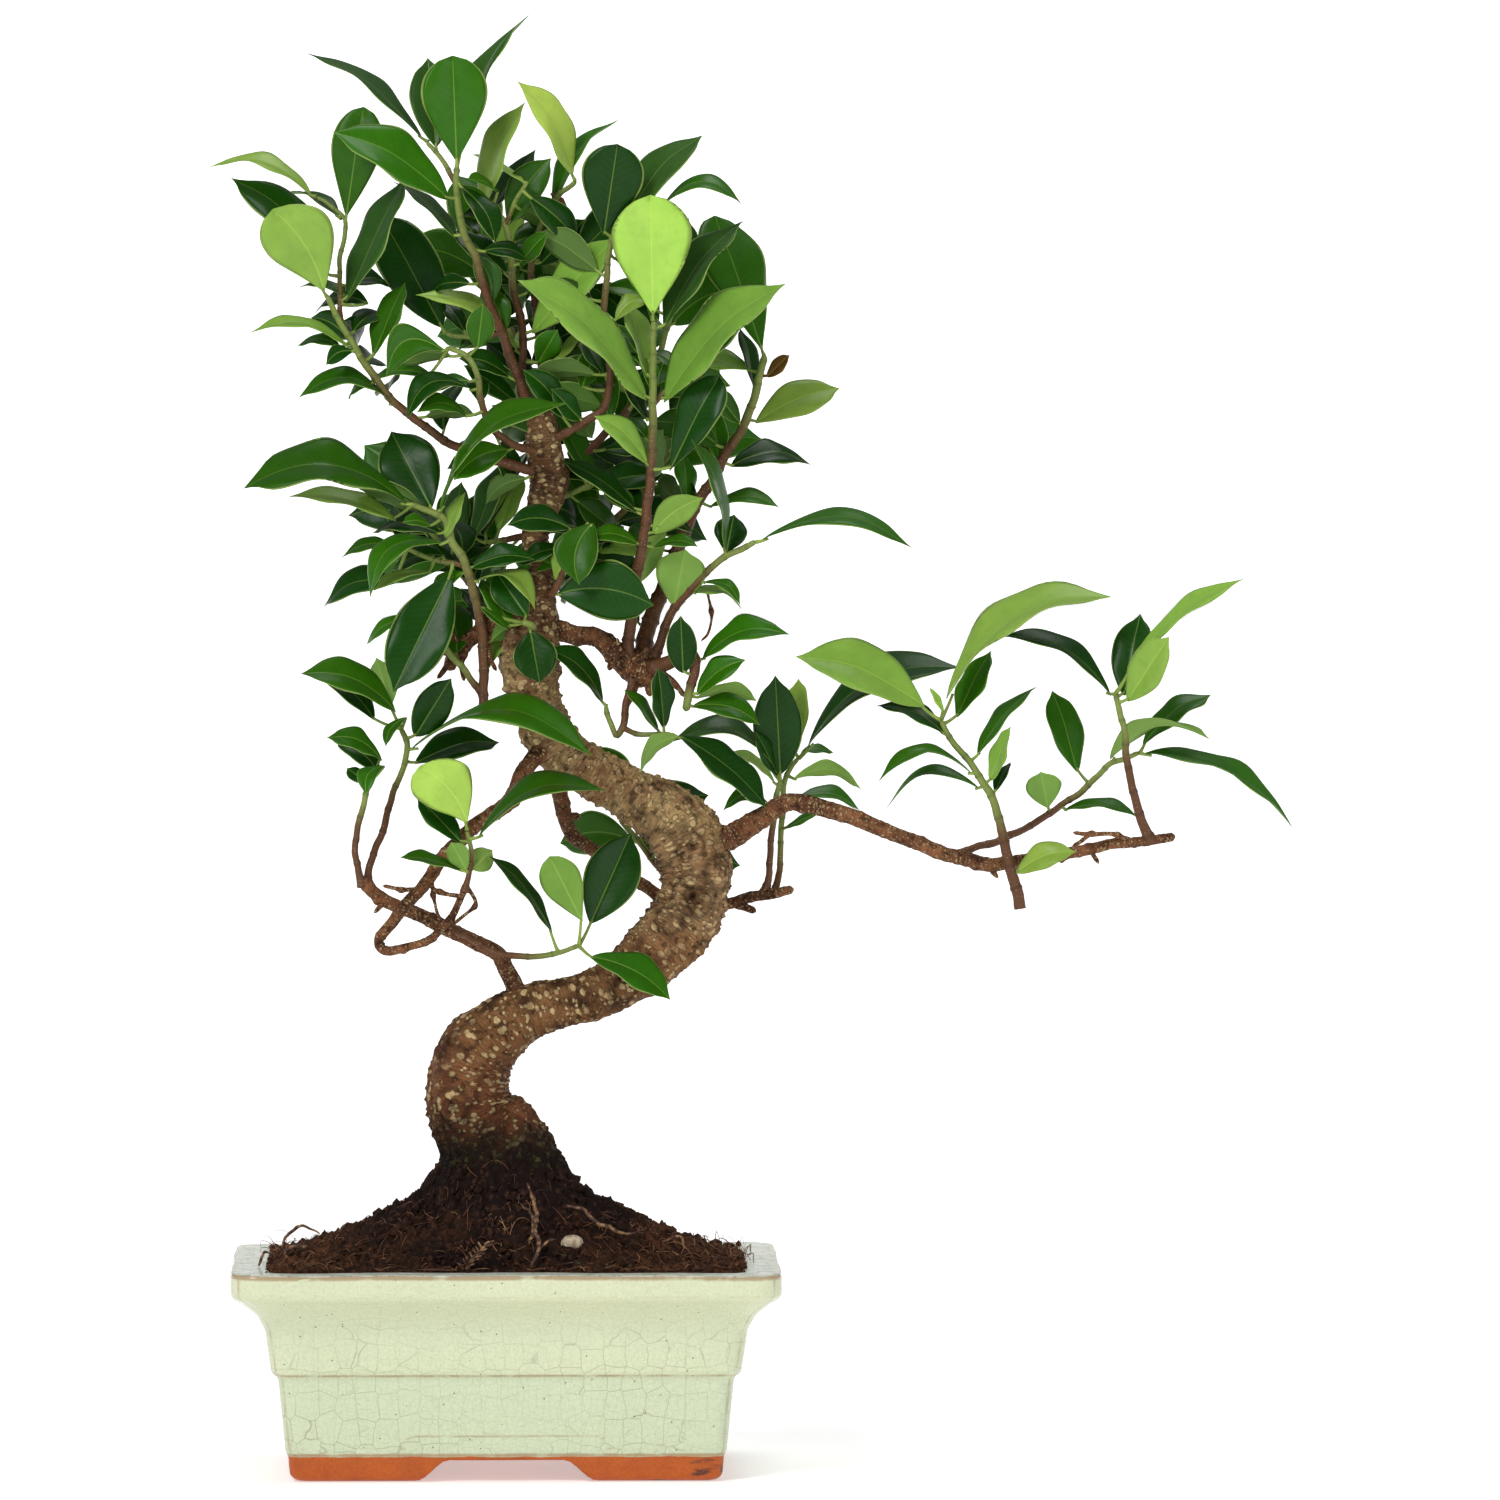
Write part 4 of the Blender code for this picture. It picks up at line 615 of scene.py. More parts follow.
def bend(line, spacing):
    """A Catmull-Rom curve through (x, y, z, radius) in millimetres, evenly spaced, in metres."""
    rows = np.array(line, float) / 1000
    rows[:, :2] += (pot_x, pot_y)
    ends = np.vstack([2 * rows[0] - rows[1], rows, 2 * rows[-1] - rows[-2]])
    t = np.linspace(0, 1, 12, endpoint=False)[:, None]
    fine = [0.5 * (2 * b + (c - a) * t + (2 * a - 5 * b + 4 * c - d) * t ** 2
                   + (3 * b - a - 3 * c + d) * t ** 3)
            for a, b, c, d in zip(ends, ends[1:], ends[2:], ends[3:])]
    fine = np.vstack(fine + [rows[-1:]])
    run = run_along(fine[:, :3])
    even = np.linspace(0, run[-1], max(int(run[-1] / spacing), 4))
    return np.stack([np.interp(even, run, fine[:, i]) for i in range(4)], -1)


def limb(rows, around):
    """A round limb's skin along [n] rows of (x, y, z, radius).

    Returns its points, outward directions and straightened coordinates, each [n, around, 3].
    The directions across it turn with the path but never twist about it.
    """
    path, radius = rows[:, :3], rows[:, 3]
    along = headings(path)
    side = [np.cross(along[0], (0.3, 0.9, 0.1))]
    for way in along[1:]:
        side.append(side[-1] - way * (side[-1] @ way))
        side[-1] /= np.linalg.norm(side[-1])
    side[0] /= np.linalg.norm(side[0])
    side = np.array(side)
    top = np.cross(along, side)
    angle = np.linspace(0, 2 * np.pi, around, endpoint=False)[:, None]
    out = side[:, None] * np.cos(angle) + top[:, None] * np.sin(angle)
    run = run_along(path)
    grain = np.stack(np.broadcast_arrays(radius[:, None] * np.cos(angle[:, 0]),
                                         radius[:, None] * np.sin(angle[:, 0]), run[:, None]), -1)
    return path[:, None] + out * radius[:, None, None], out, grain


def dead_root(name, routes, node=None):
    """Thin roots as crooked limbs that taper to both ends."""
    sheets = []
    for k, route in enumerate(routes):
        rows = bend(route, 0.0006)
        share = np.linspace(0, 1, len(rows))
        rows[:, :3] += np.stack([sines(rows[:, :3], 0.006, 40 + k + i) for i in range(3)], -1) * 0.0003
        rows[:, 3] *= np.sin(np.pi * share.clip(0.04, 0.96)) ** 0.3
        points, out, grain = limb(rows, 8)
        points = points + out * (sines(points, 0.0022, 50 + k) * 0.00012)[..., None]
        sheets.append((points, {"grain": grain}, 0, True, True))
    obj = join_sheets(name, sheets)
    obj.data.materials.append(root_paint)
    if node:
        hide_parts(node)
    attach(obj, "root")


def root_material():
    """Dry dark root with a redder core where its skin has flaked."""
    p = Paint("dry_root", 0.75)
    flake = p.ramp(p.noise(p.place, 500, 4), (0.45, 0.0), (0.62, 1.0))
    pale = p.mix(p.noise(p.place, 60, 2), (0.14, 0.055, 0.022), (0.42, 0.24, 0.11))
    colour = p.mix(flake, (0.045, 0.018, 0.010), pale)
    return p.done(colour, normal=p.bump(p.noise(p.place, 900, 3), 0.0003, 0.7))


def on_soil(x, y, lift):
    """A point at a height over the mound, all in millimetres."""
    return mound(x / 1000, y / 1000) * 1000 + lift


root_paint = root_material()
# Loose roots as (x, y, height over the soil) in millimetres.
LYING = {
    "loose_root_left": [(-80, -8, -1.5), (-80, -10, 3), (-76, -12, 4), (-70, -14, 1), (-66, -18, 0.5)],
    "loose_root_front": [(7, -46, 0.5), (9, -40, 1), (11, -34, 1), (10, -29, 1), (8, -25, 1)],
}
for name, route in LYING.items():
    strand = [(x, y, on_soil(x, y, lift + 0.3), 0.9) for x, y, lift in route]
    dead_root(name + "_strand", [strand], name)
dead_root("surface_rootlets", [
    [(-79, -22, 75, 0.6), (-81, -22, 84, 0.6), (-78, -23, 89, 0.6), (-73, -24, 91, 0.6),
     (-68, -24, 88, 0.5)],
    [(-90, -30, 77, 0.5), (-88, -30, 82, 0.5), (-84, -30, 81, 0.4)],
    [(8, -57, 75, 0.7), (10, -55, 81, 0.7), (12, -52, 86, 0.8), (10, -47, 92, 0.7), (9, -43, 97, 0.6),
     (5, -38, 100, 0.5)],
    [(12, -53, 85, 0.5), (16, -52, 88, 0.4), (18, -50, 88, 0.3)],
    [(22, -34, 99, 0.7), (28, -35, 98, 0.7), (32, -36, 94, 0.7), (38, -37, 91, 0.7), (45, -37, 89, 0.6),
     (50, -37, 91, 0.4)],
    [(57, -36, 86, 0.5), (63, -37, 88, 0.5), (65, -37, 84, 0.4)],
    [(-14, -58, 76, 0.5), (-12, -56, 82, 0.5), (-6, -53, 87, 0.4)]]
    + [[(-15 + 1.1 * k, -57, 77 + 1.3 * k, 0.45), (-15 + 1.1 * k + side, -59, 79.5 + 1.3 * k, 0.4),
        (-14 + 1.1 * k + 2.4 * side, -59, 80.5 + 1.3 * k, 0.3)] for k in range(7) for side in (-1.2, 1.2)])

PEBBLE_X, PEBBLE_Y = 0.024, -0.039
PEBBLE_HALF = (0.0042, 0.0036, 0.0030)
bm = bmesh.new()
bmesh.ops.create_icosphere(bm, subdivisions=5, radius=1)
pebble_mesh = bpy.data.meshes.new("pebble_stone")
bm.to_mesh(pebble_mesh)
bm.free()
ball = np.array([v.co for v in pebble_mesh.vertices])
ball *= (1 + 0.05 * sines(ball, 1.6, 61) + 0.015 * sines(ball, 0.35, 62))[:, None]
ball = ball * PEBBLE_HALF + (
    pot_x + PEBBLE_X, pot_y + PEBBLE_Y, mound(PEBBLE_X, PEBBLE_Y) + 0.0008)
pebble_mesh.vertices.foreach_set("co", ball.ravel())
pebble_mesh.polygons.foreach_set("use_smooth", [True] * len(pebble_mesh.polygons))
pebble = linked("pebble_stone", pebble_mesh)


def stone_material():
    """Beige grit stone with brown stains and pits."""
    p = Paint("beige_stone", 0.75)
    stain = p.noise(p.place, 300, 5)
    colour = p.ramp(stain, (0.35, (0.24, 0.17, 0.10)), (0.55, (0.56, 0.47, 0.33)),
                    (0.75, (0.68, 0.60, 0.46)))
    pits = p.ramp(p.voronoi(p.place, 1600), (0.0, 0.0), (0.3, 1.0))
    return p.done(colour, normal=p.bump(pits, 0.0003, 0.6))


pebble.data.materials.append(stone_material())
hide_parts("pebble")
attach(pebble, "root")

# ---- Trunk --------------------------------------------------------------------------------
# Living wood in one S, with knots where branches were cut off, folded bark inside each bend
# and corky pores in rows across it.  Its root flare grips the soil.
TRUNK = [(-1, 0, 62, 8), (-1, 0, 84, 16), (-1, 0, 105, 20), (-6, -1, 120, 19), (-12, -2, 130, 16),
         (-14, -3, 140, 15), (-11, -4, 152, 14), (-3, -5, 161, 12), (7, -5, 167, 10.5),
         (20, -5, 171, 8.7), (32, -4, 174, 9), (43, -3, 180, 10), (54, -2, 189, 12),
         (64, 0, 200, 13), (69, 1, 211, 12.5), (70, 2, 221, 13.5), (66, 3, 232, 13),
         (59, 4, 240, 11.5), (50, 5, 245, 10.5), (40, 5, 251, 9.5), (30, 4, 256, 9),
         (22, 3, 262, 9), (15, 2, 270, 9.5), (12, 1, 280, 9), (9.5, 0, 290, 10.5),
         (9, 0, 300, 11), (12, 0, 315, 7), (13, 0, 330, 4.5), (11, 1, 342, 5), (14, 2, 352, 6),
         (16, 2, 362, 7), (14, 2, 375, 6.5), (13, 2, 389, 5)]
# Distances between bark folds, rings on the trunk and branches, and a branch's leaf scars.
FOLD_STEP, RING_STEP, SCAR_STEP = 0.0031, 0.0125, 0.0105
# (x, z) of a knot's middle on the front, its radius and height, and 1 if it has a hole.
KNOTS = [(57, 228, 4.6, 2.6, 0), (69, 211, 5.2, 3.0, 1), (68, 229, 3.0, 1.8, 1),
         (79, 219, 4.4, 2.0, 0), (60, 202, 3.5, 1.4, 0), (52, 246, 4.0, 1.4, 0), (72, 190, 3.2, 1.2, 0),
         (2, 268, 2.5, 1.0, 0), (24, 261, 3.0, 0.8, 0), (10, 296, 4.0, 1.3, 0),
         (14, 362, 3.0, 1.0, 0), (-20, 134, 4.4, 0.8, 1), (44, 177, 3.2, 0.8, 0), (-14, 160, 3.6, 0.7, 0)]


def bark_folds(rows, out, grain, seed):
    """Heights of bark: folds inside bends, faint rings all along, and broad unevenness."""
    path = rows[:, :3]
    pace = np.linalg.norm(np.gradient(path, axis=0), axis=1, keepdims=True)
    turn = np.gradient(headings(path), axis=0) / pace
    for _ in range(12):
        turn[1:-1] = turn[:-2] / 4 + turn[1:-1] / 2 + turn[2:] / 4
    inner = (out * turn[:, None]).sum(-1) * rows[:, None, 3]
    run = grain[..., 2] + sines(grain, 0.02, seed) * 0.0010
    fold = np.sin(2 * np.pi * run / FOLD_STEP) * smooth(inner, 0.12, 0.5) * 0.00042
    rings = -hump(np.sin(np.pi * (run / RING_STEP + 0.15 * np.sin(run / 0.017))), 0.10) * 0.00016
    points = path[:, None] + out * rows[:, 3][:, None, None]
    broad = sines(points, 0.030, seed + 1) * 0.040 + sines(points, 0.011, seed + 2) * 0.030
    broad = broad * rows[:, None, 3]
    warts = smooth(sines(points, 0.0042, seed + 3) + sines(points, 0.0027, seed + 4) * 0.6, 0.35, 1.5)
    cracks = np.abs(sines(points, 0.0065, seed + 5)).clip(0, 0.35) / 0.35 - 1
    gnarl = smooth(points[..., 2], 0.180, 0.205) * smooth(0.305 - points[..., 2], 0, 0.02)
    flare = smooth(0.150 - points[..., 2], 0, 0.025)
    rough = (warts * (0.00055 + 0.00060 * gnarl + 0.0007 * flare)
             + cracks * (0.00060 * gnarl + 0.0009 * flare))
    return fold + rings + broad + rough * np.minimum(rows[:, None, 3] / 0.008, 1)


def knotted(points, out):
    """Adds the knots; returns the points and the painted shade in each knot's hole and in the crease round
    its foot.
    """
    dark = np.zeros(points.shape[:2])
    for x, z, size, height, hollow in KNOTS:
        gap = np.hypot(points[..., 0] - pot_x - x / 1000, points[..., 2] - z / 1000) + (out[..., 1] > -0.3)
        middle = points.reshape(-1, 3)[gap.argmin()]
        away = np.linalg.norm(points - middle, axis=-1) / (size / 1000)
        rise = np.exp(-away ** 2)
        if hollow:
            rise = hump(away - 0.9, 0.45) - 0.9 * hump(away, 0.5)
            rise += 0.25 * hump(away - 0.35, 0.12)
            # Painted shade: the hole and the inside of its lip are painted dark.
            dark = np.maximum(dark, hump(away, 0.42))
            dark = np.maximum(dark, 0.7 * hump(away - 0.62, 0.10))
        # Painted shade in the crease round the foot of every knot.
        dark = np.maximum(dark, 0.6 * hump(away - 1.45, 0.22))
        points = points + out * (rise * height / 1000)[..., None]
    return points, dark


def trunk_sheets():
    """The trunk's skin, and its surface roots, which leave it under lobes of the flare."""
    rows = bend(TRUNK, 0.00085)
    points, out, grain = limb(rows, 144)
    height = rows[:, 2]
    lobes = np.zeros(points.shape[:2])
    bearing = np.arctan2(out[..., 1], out[..., 0])
    for root in ROOTS:
        aim = math.atan2(root[-1][1] - root[0][1], root[-1][0] - root[0][0])
        gap = (bearing - aim + np.pi) % (2 * np.pi) - np.pi
        lobes = np.maximum(lobes, hump(gap, 0.42))
    low = smooth(0.127 - height, 0, 0.030)[:, None]
    points = points + out * ((lobes * 0.34 - 0.05) * low * rows[:, None, 3])[..., None]
    points = points + out * bark_folds(rows, out, grain, 71)[..., None]
    points, dark = knotted(points, out)
    sheets = [(points, {"grain": grain, "knot_shade_and_scars": np.stack([dark, dark * 0, dark * 0], -1)}, 0, True, True)]
    for k, root in enumerate(ROOTS):
        rows = bend(root + [(root[-1][0] * 1.12, root[-1][1] * 1.12, 70, 0.8)], 0.0009)
        points, out, grain = limb(rows, 48)
        points = points + out * bark_folds(rows, out, grain, 80 + 5 * k)[..., None]
        knot_shade_and_scars = np.zeros(points.shape)
        sheets.append((points, {"grain": grain, "knot_shade_and_scars": knot_shade_and_scars}, 0, True, True))
    return sheets


def bark_material(name, skin, dark, pore, pore_scale, soil_stain):
    """Ficus bark: mottled and cracked, with raised cream pores drawn out across the limb."""
    p = Paint(name, 0.65, Specular_IOR_Level=0.15)
    grain, knot_shade_and_scars = p.attribute("grain"), p.attribute("knot_shade_and_scars")
    mottle = p.noise(grain, 140, 5)
    colour = p.mix(p.ramp(mottle, (0.40, 0.0), (0.58, 1.0)), dark, skin)
    patch = p.ramp(p.noise(p.place, 42, 4), (0.42, 0.0), (0.60, 1.0))
    colour = p.mix(p.times(patch, 0.55), colour, tuple(min(c * 1.9, 1) for c in skin))
    if soil_stain:
        # The lower trunk is redder, and everything near the soil is caked with it.
        z = p.times(p.split(p.place, 2), 5.0)
        colour = p.mix(p.ramp(z, (0.66, 0.75), (0.86, 0.0)), colour, (0.150, 0.048, 0.018))
        grey = p.times(p.ramp(z, (0.96, 0.0), (1.12, 0.8)), p.ramp(mottle, (0.40, 0.2), (0.60, 1.0)))
        colour = p.mix(grey, colour, (0.330, 0.200, 0.095))
        # Painted highlight: above about 0.23 m, over the trunk's upper bend, patches are painted lighter
        # and yellower where the light falls on it.
        upper = p.times(p.ramp(p.times(z, 0.5), (0.56, 0.0), (0.61, 0.75)),
                        p.ramp(p.noise(p.place, 90, 4), (0.42, 0.0), (0.55, 1.0)))
        colour = p.mix(upper, colour, (0.400, 0.270, 0.115))
        colour = p.mix(p.ramp(p.times(z, 0.5), (0.73, 0.0), (0.80, 0.75)), colour, (0.085, 0.032, 0.013))
    # The bark's pits, sunk by the bump below, are painted darker: partly their own dark bark, partly
    # painted shade in them.
    pits = p.ramp(p.noise(grain, 330, 4), (0.34, 1.0), (0.44, 0.0))
    colour = p.mix(p.times(pits, 0.62), colour, tuple(c * 0.4 for c in dark))
    # Pores: short blisters across the grain in two sizes, only some cells of each holding one.
    wobble = p.node("VectorMath", settings={"operation": "MULTIPLY_ADD"},
                    i0=p.noise(grain, 700, 2, "Color"), i1=(0.0011,) * 3, i2=grain)
    pores = 0.0
    for scale, size, share in ((pore_scale, 0.29, 0.14), (pore_scale * 1.7, 0.27, 0.34)):
        cells = p.scaled(wobble, 0.88, 0.88, 1.25)
        spot = p.ramp(p.voronoi(cells, scale), (0.0, 1.0), (size, 0.9), (size + 0.12, 0.0))
        kept = p.math("GREATER_THAN", p.split(p.voronoi(cells, scale, "Color"), 0), share)
        pores = p.math("MAXIMUM", p.times(spot, kept), pores)
    pores = p.times(pores, p.ramp(p.noise(grain, 70, 3), (0.32, 0.25), (0.50, 1.0)))
    shade = p.mix(p.noise(grain, 1500, 3), tuple(c * 0.55 for c in pore), pore)
    colour = p.mix(p.times(pores, 0.92), colour, shade)
    lines = p.ramp(p.noise(p.scaled(grain, 0.35, 0.35, 4.0), 520, 3), (0.52, 0.0), (0.62, 1.0))
    colour = p.mix(p.times(lines, 0.16), colour, tuple(c * 0.45 for c in dark))
    rough = None
    if soil_stain:
        wet = p.plus(p.split(p.place, 2), p.times(p.noise(p.place, 120, 5), 0.026))
        stain = p.ramp(p.times(wet, 5.0), (0.655, 0.97), (0.690, 0.72), (0.735, 0.0))
        colour = p.mix(stain, colour, (0.0085, 0.0045, 0.003))
        moss = p.times(p.ramp(p.noise(p.place, 260, 5), (0.56, 0.0), (0.64, 1.0)),
                       p.ramp(p.times(p.split(p.place, 2), 5.0), (0.52, 1.0), (0.72, 0.0)))
        colour = p.mix(p.times(moss, 0.6), colour, (0.085, 0.085, 0.022))
        rough = p.mix(stain, (0.65,) * 3, (0.95,) * 3)
    # Painted shade in the trunk's knot holes and creases, and the branches' dark leaf scars.
    colour = p.mix(p.times(p.split(knot_shade_and_scars, 0), 0.9), colour, (0.012, 0.007, 0.004))
    fine = p.plus(pores, p.times(p.noise(grain, 900, 4), 0.6))
    fine = p.minus(fine, p.plus(p.times(lines, 0.2), p.times(pits, 0.5)))
    return p.done(colour, rough, p.bump(fine, 0.0014, 1.0))


trunk = join_sheets("trunk_bark_skin", trunk_sheets())
trunk.data.materials.append(bark_material(
    "trunk_bark", (0.165, 0.078, 0.029), (0.036, 0.014, 0.005), (0.72, 0.51, 0.25), 265, True))
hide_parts("trunk")
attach(trunk, "root")

# ---- Branches -----------------------------------------------------------------------------
# Six woody branches grow out of the trunk, each through a collar of bark at its foot.  Rings
# and small side buds mark where leaves have fallen.
BRANCHES = {
    "branch_right": [
        [(68, 2, 226, 5), (78, 1, 230, 4.8), (88, 0, 235, 4.2), (102, -2, 244, 3.4),
         (110, -3, 244, 3.3), (120, -4, 241, 3.1), (130, -5, 238, 3), (140, -6, 234, 2.8),
         (150, -6, 230, 2.7), (160, -7, 226, 2.7), (175, -8, 222, 2.6), (185, -8, 222.5, 2.4),
         (205, -9, 226, 2.2), (225, -9, 229.5, 1.9), (245, -10, 232, 1.6)],
        [(231, -9, 230, 0.9), (222, -13, 233, 0.8), (213, -15, 233.5, 0.8), (207, -16, 234, 0.7)],
        [(214, -15, 233.5, 0.8), (207, -18, 229, 0.7)]],
    "branch_back": [
        [(24, 5, 257, 3.2), (20, 14, 248, 3), (22, 18, 238, 2.8), (25, 20, 231, 2.6),
         (30, 22, 227, 2.5), (38, 23, 222, 2.4), (45, 24, 216, 2.4), (52, 25, 212, 2.3),
         (60, 25, 208, 2.3), (72, 25, 205.5, 2.2), (82, 24, 206, 2.1), (92, 22, 208.5, 2),
         (106, 20, 211, 1.7)],
        [(84, 24, 206, 1.6), (92, 22, 203, 1.4)], [(22, 18, 238, 1.8), (28, 17, 238.5, 1.3)]],
    "branch_lower_left": [
        [(6, -4, 169, 3.4), (3, -4, 178, 3.2), (0, -4, 184, 3), (-3, -5, 189, 2.9),
         (-10, -6, 193, 2.8), (-20, -8, 198, 2.7), (-30, -10, 203, 2.6), (-38, -12, 206.5, 2.5),
         (-45, -14, 210, 2.4), (-50, -15, 214, 2.3), (-53, -15, 217, 2)]],
    "branch_front_left": [
        [(16, 0, 268, 3.2), (7, -9, 256, 3.1), (2, -12, 246, 3), (-5, -14, 241, 2.8),
         (-12, -16, 236, 2.7), (-20, -18, 228, 2.6), (-27, -20, 219, 2.4), (-32, -22, 213, 2.3),
         (-38, -24, 206, 2.2), (-42, -26, 201, 2.1), (-46, -28, 196, 1.9), (-45, -29, 192.5, 1.8),
         (-40, -30, 192, 1.6), (-30, -30, 195, 1.5), (-22, -29, 201, 1.4), (-17, -28, 209, 1.3),
         (-14, -27, 216, 1.2)],
        [(-31, -22, 214, 0.9), (-36, -26, 214, 0.8), (-45, -29, 215, 0.7)],
        [(-28, -20.5, 217, 0.9), (-25, -25, 213, 0.8), (-16, -28, 212, 0.8)]],
    "branch_crown_right": [
        [(10, 0, 304, 4), (18, 2, 307, 4), (25, 3, 305.5, 3.6), (33, 4, 305, 3.6), (38, 4, 302, 4),
         (42, 4, 298, 5), (48, 4, 294, 6.5), (54, 4, 292, 6), (59, 4, 291, 3)]],
    "branch_left": [
        [(9, 0, 318, 3.2), (4, -1, 316, 3), (-5, -2, 311, 3), (-12, -2, 305, 3),
         (-18, -2, 299, 2.8), (-21, -2, 293, 2.2)],
        [(-18, -2, 299, 1.6), (-23, -2, 300, 1.3), (-27, -2, 303, 1.1)]],
}


def branch_sheets(lines, seed):
    """One branch: a limb for each line, with a collar at its foot, rings and leaf scars."""
    sheets = []
    for k, line in enumerate(lines):
        rows = bend(line, 0.0006)
        run = run_along(rows[:, :3])
        rows[:, 3] *= 1 + 0.45 * hump(run, 0.0045) * (k == 0)
        knuckle = hump(np.sin(np.pi * (run / SCAR_STEP + seed * 0.3)), 0.16)
        rows[:, 3] *= 1 + 0.09 * knuckle
        rows[:, 3] *= np.sqrt(np.clip((run[-1] - run) / 0.0012, 0.05, 1))
        wander = np.stack([sines(rows[:, :3], 0.016, seed * 9 + i) for i in range(3)], -1)
        rows[:, :3] += wander * 0.00035 * smooth(run, 0.002, 0.008)[:, None]
        points, out, grain = limb(rows, 32)
        points = points + out * (bark_folds(rows, out, grain, seed * 7 + k) * 0.6)[..., None]
        rng = np.random.default_rng(seed * 31 + k)
        dark = np.zeros(points.shape[:2])
        for place in np.arange(0.008, run[-1] - 0.004, SCAR_STEP):
            spot = points[np.argmin(np.abs(run - place)), rng.integers(32)]
            away = np.linalg.norm(points - spot, axis=-1) / 0.0014
            points = points + out * (0.00075 * np.exp(-away ** 2))[..., None]
            dark = np.maximum(dark, 0.6 * hump(away, 0.45))
        sheets.append((points, {"grain": grain, "knot_shade_and_scars": np.stack([dark, dark * 0, dark * 0], -1)},
                       0, True, True))
    return sheets


# Short dead spurs and a tendril, too thin for the CAD, by the branch that they grow from.
SPURS = {
    "branch_crown_right": [
        [(48, 4, 291, 2.2), (47, 0, 285, 1.6), (44, -3, 279, 0.9)],
        [(52, 3, 290, 1.8), (53, -3, 283, 1.1)],
        [(56, 3, 292, 1.8), (62, -1, 288, 1.2), (66, -3, 283, 0.8)],
        [(41, 3, 299, 1.8), (38, -3, 293, 1.0)],
        [(46, 2, 296, 1.8), (42, -4, 301, 1.0), (41, -6, 305, 0.7)],
        [(50, 0, 297, 1.5), (52, -6, 301, 0.9)],
        [(74, 14, 322, 0.5), (76, 12, 312, 0.5), (75, 11, 306, 0.5), (72, 11, 303, 0.4)]],
    "branch_left": [
        [(-12, -2, 304, 1.6), (-16, -8, 297, 1.1), (-15, -9, 289, 0.8)],
        [(-20, -2, 296, 1.4), (-25, -6, 290, 0.8)],
        [(-5, -2, 310, 1.5), (-6, -8, 300, 1.0), (-3, -10, 293, 0.8)],
        [(-16, -2, 301, 1.5), (-22, -5, 309, 0.8)]],
    "branch_front_left": [
        [(-27, -20, 219, 0.8), (-26, -24, 209, 0.6), (-24, -25, 203, 0.6), (-19, -26, 200, 0.5)],
        [(-14, -26, 215, 0.8), (-11, -27, 209, 0.6), (-16, -28, 204, 0.6), (-20, -29, 200, 0.5)]],
    "branch_right": [
        [(176, -8, 222, 1.2), (180, -11, 217, 0.8)], [(214, -9, 227, 1.0), (217, -12, 222, 0.7)]],
    "branch_lower_left": [
        [(-24, -9, 200, 1.2), (-26, -13, 194, 0.7)], [(-44, -14, 209, 1.2), (-48, -17, 205, 0.7)]],
}
branch_paint = bark_material("branch_bark", (0.170, 0.068, 0.028), (0.055, 0.019, 0.009),
                             (0.55, 0.37, 0.19), 620, False)
for seed, (name, lines) in enumerate(BRANCHES.items(), 2):
    piece = join_sheets(name + "_bark", branch_sheets(lines + SPURS.get(name, []), seed))
    piece.data.materials.append(branch_paint)
    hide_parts(name)
    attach(piece, "root")

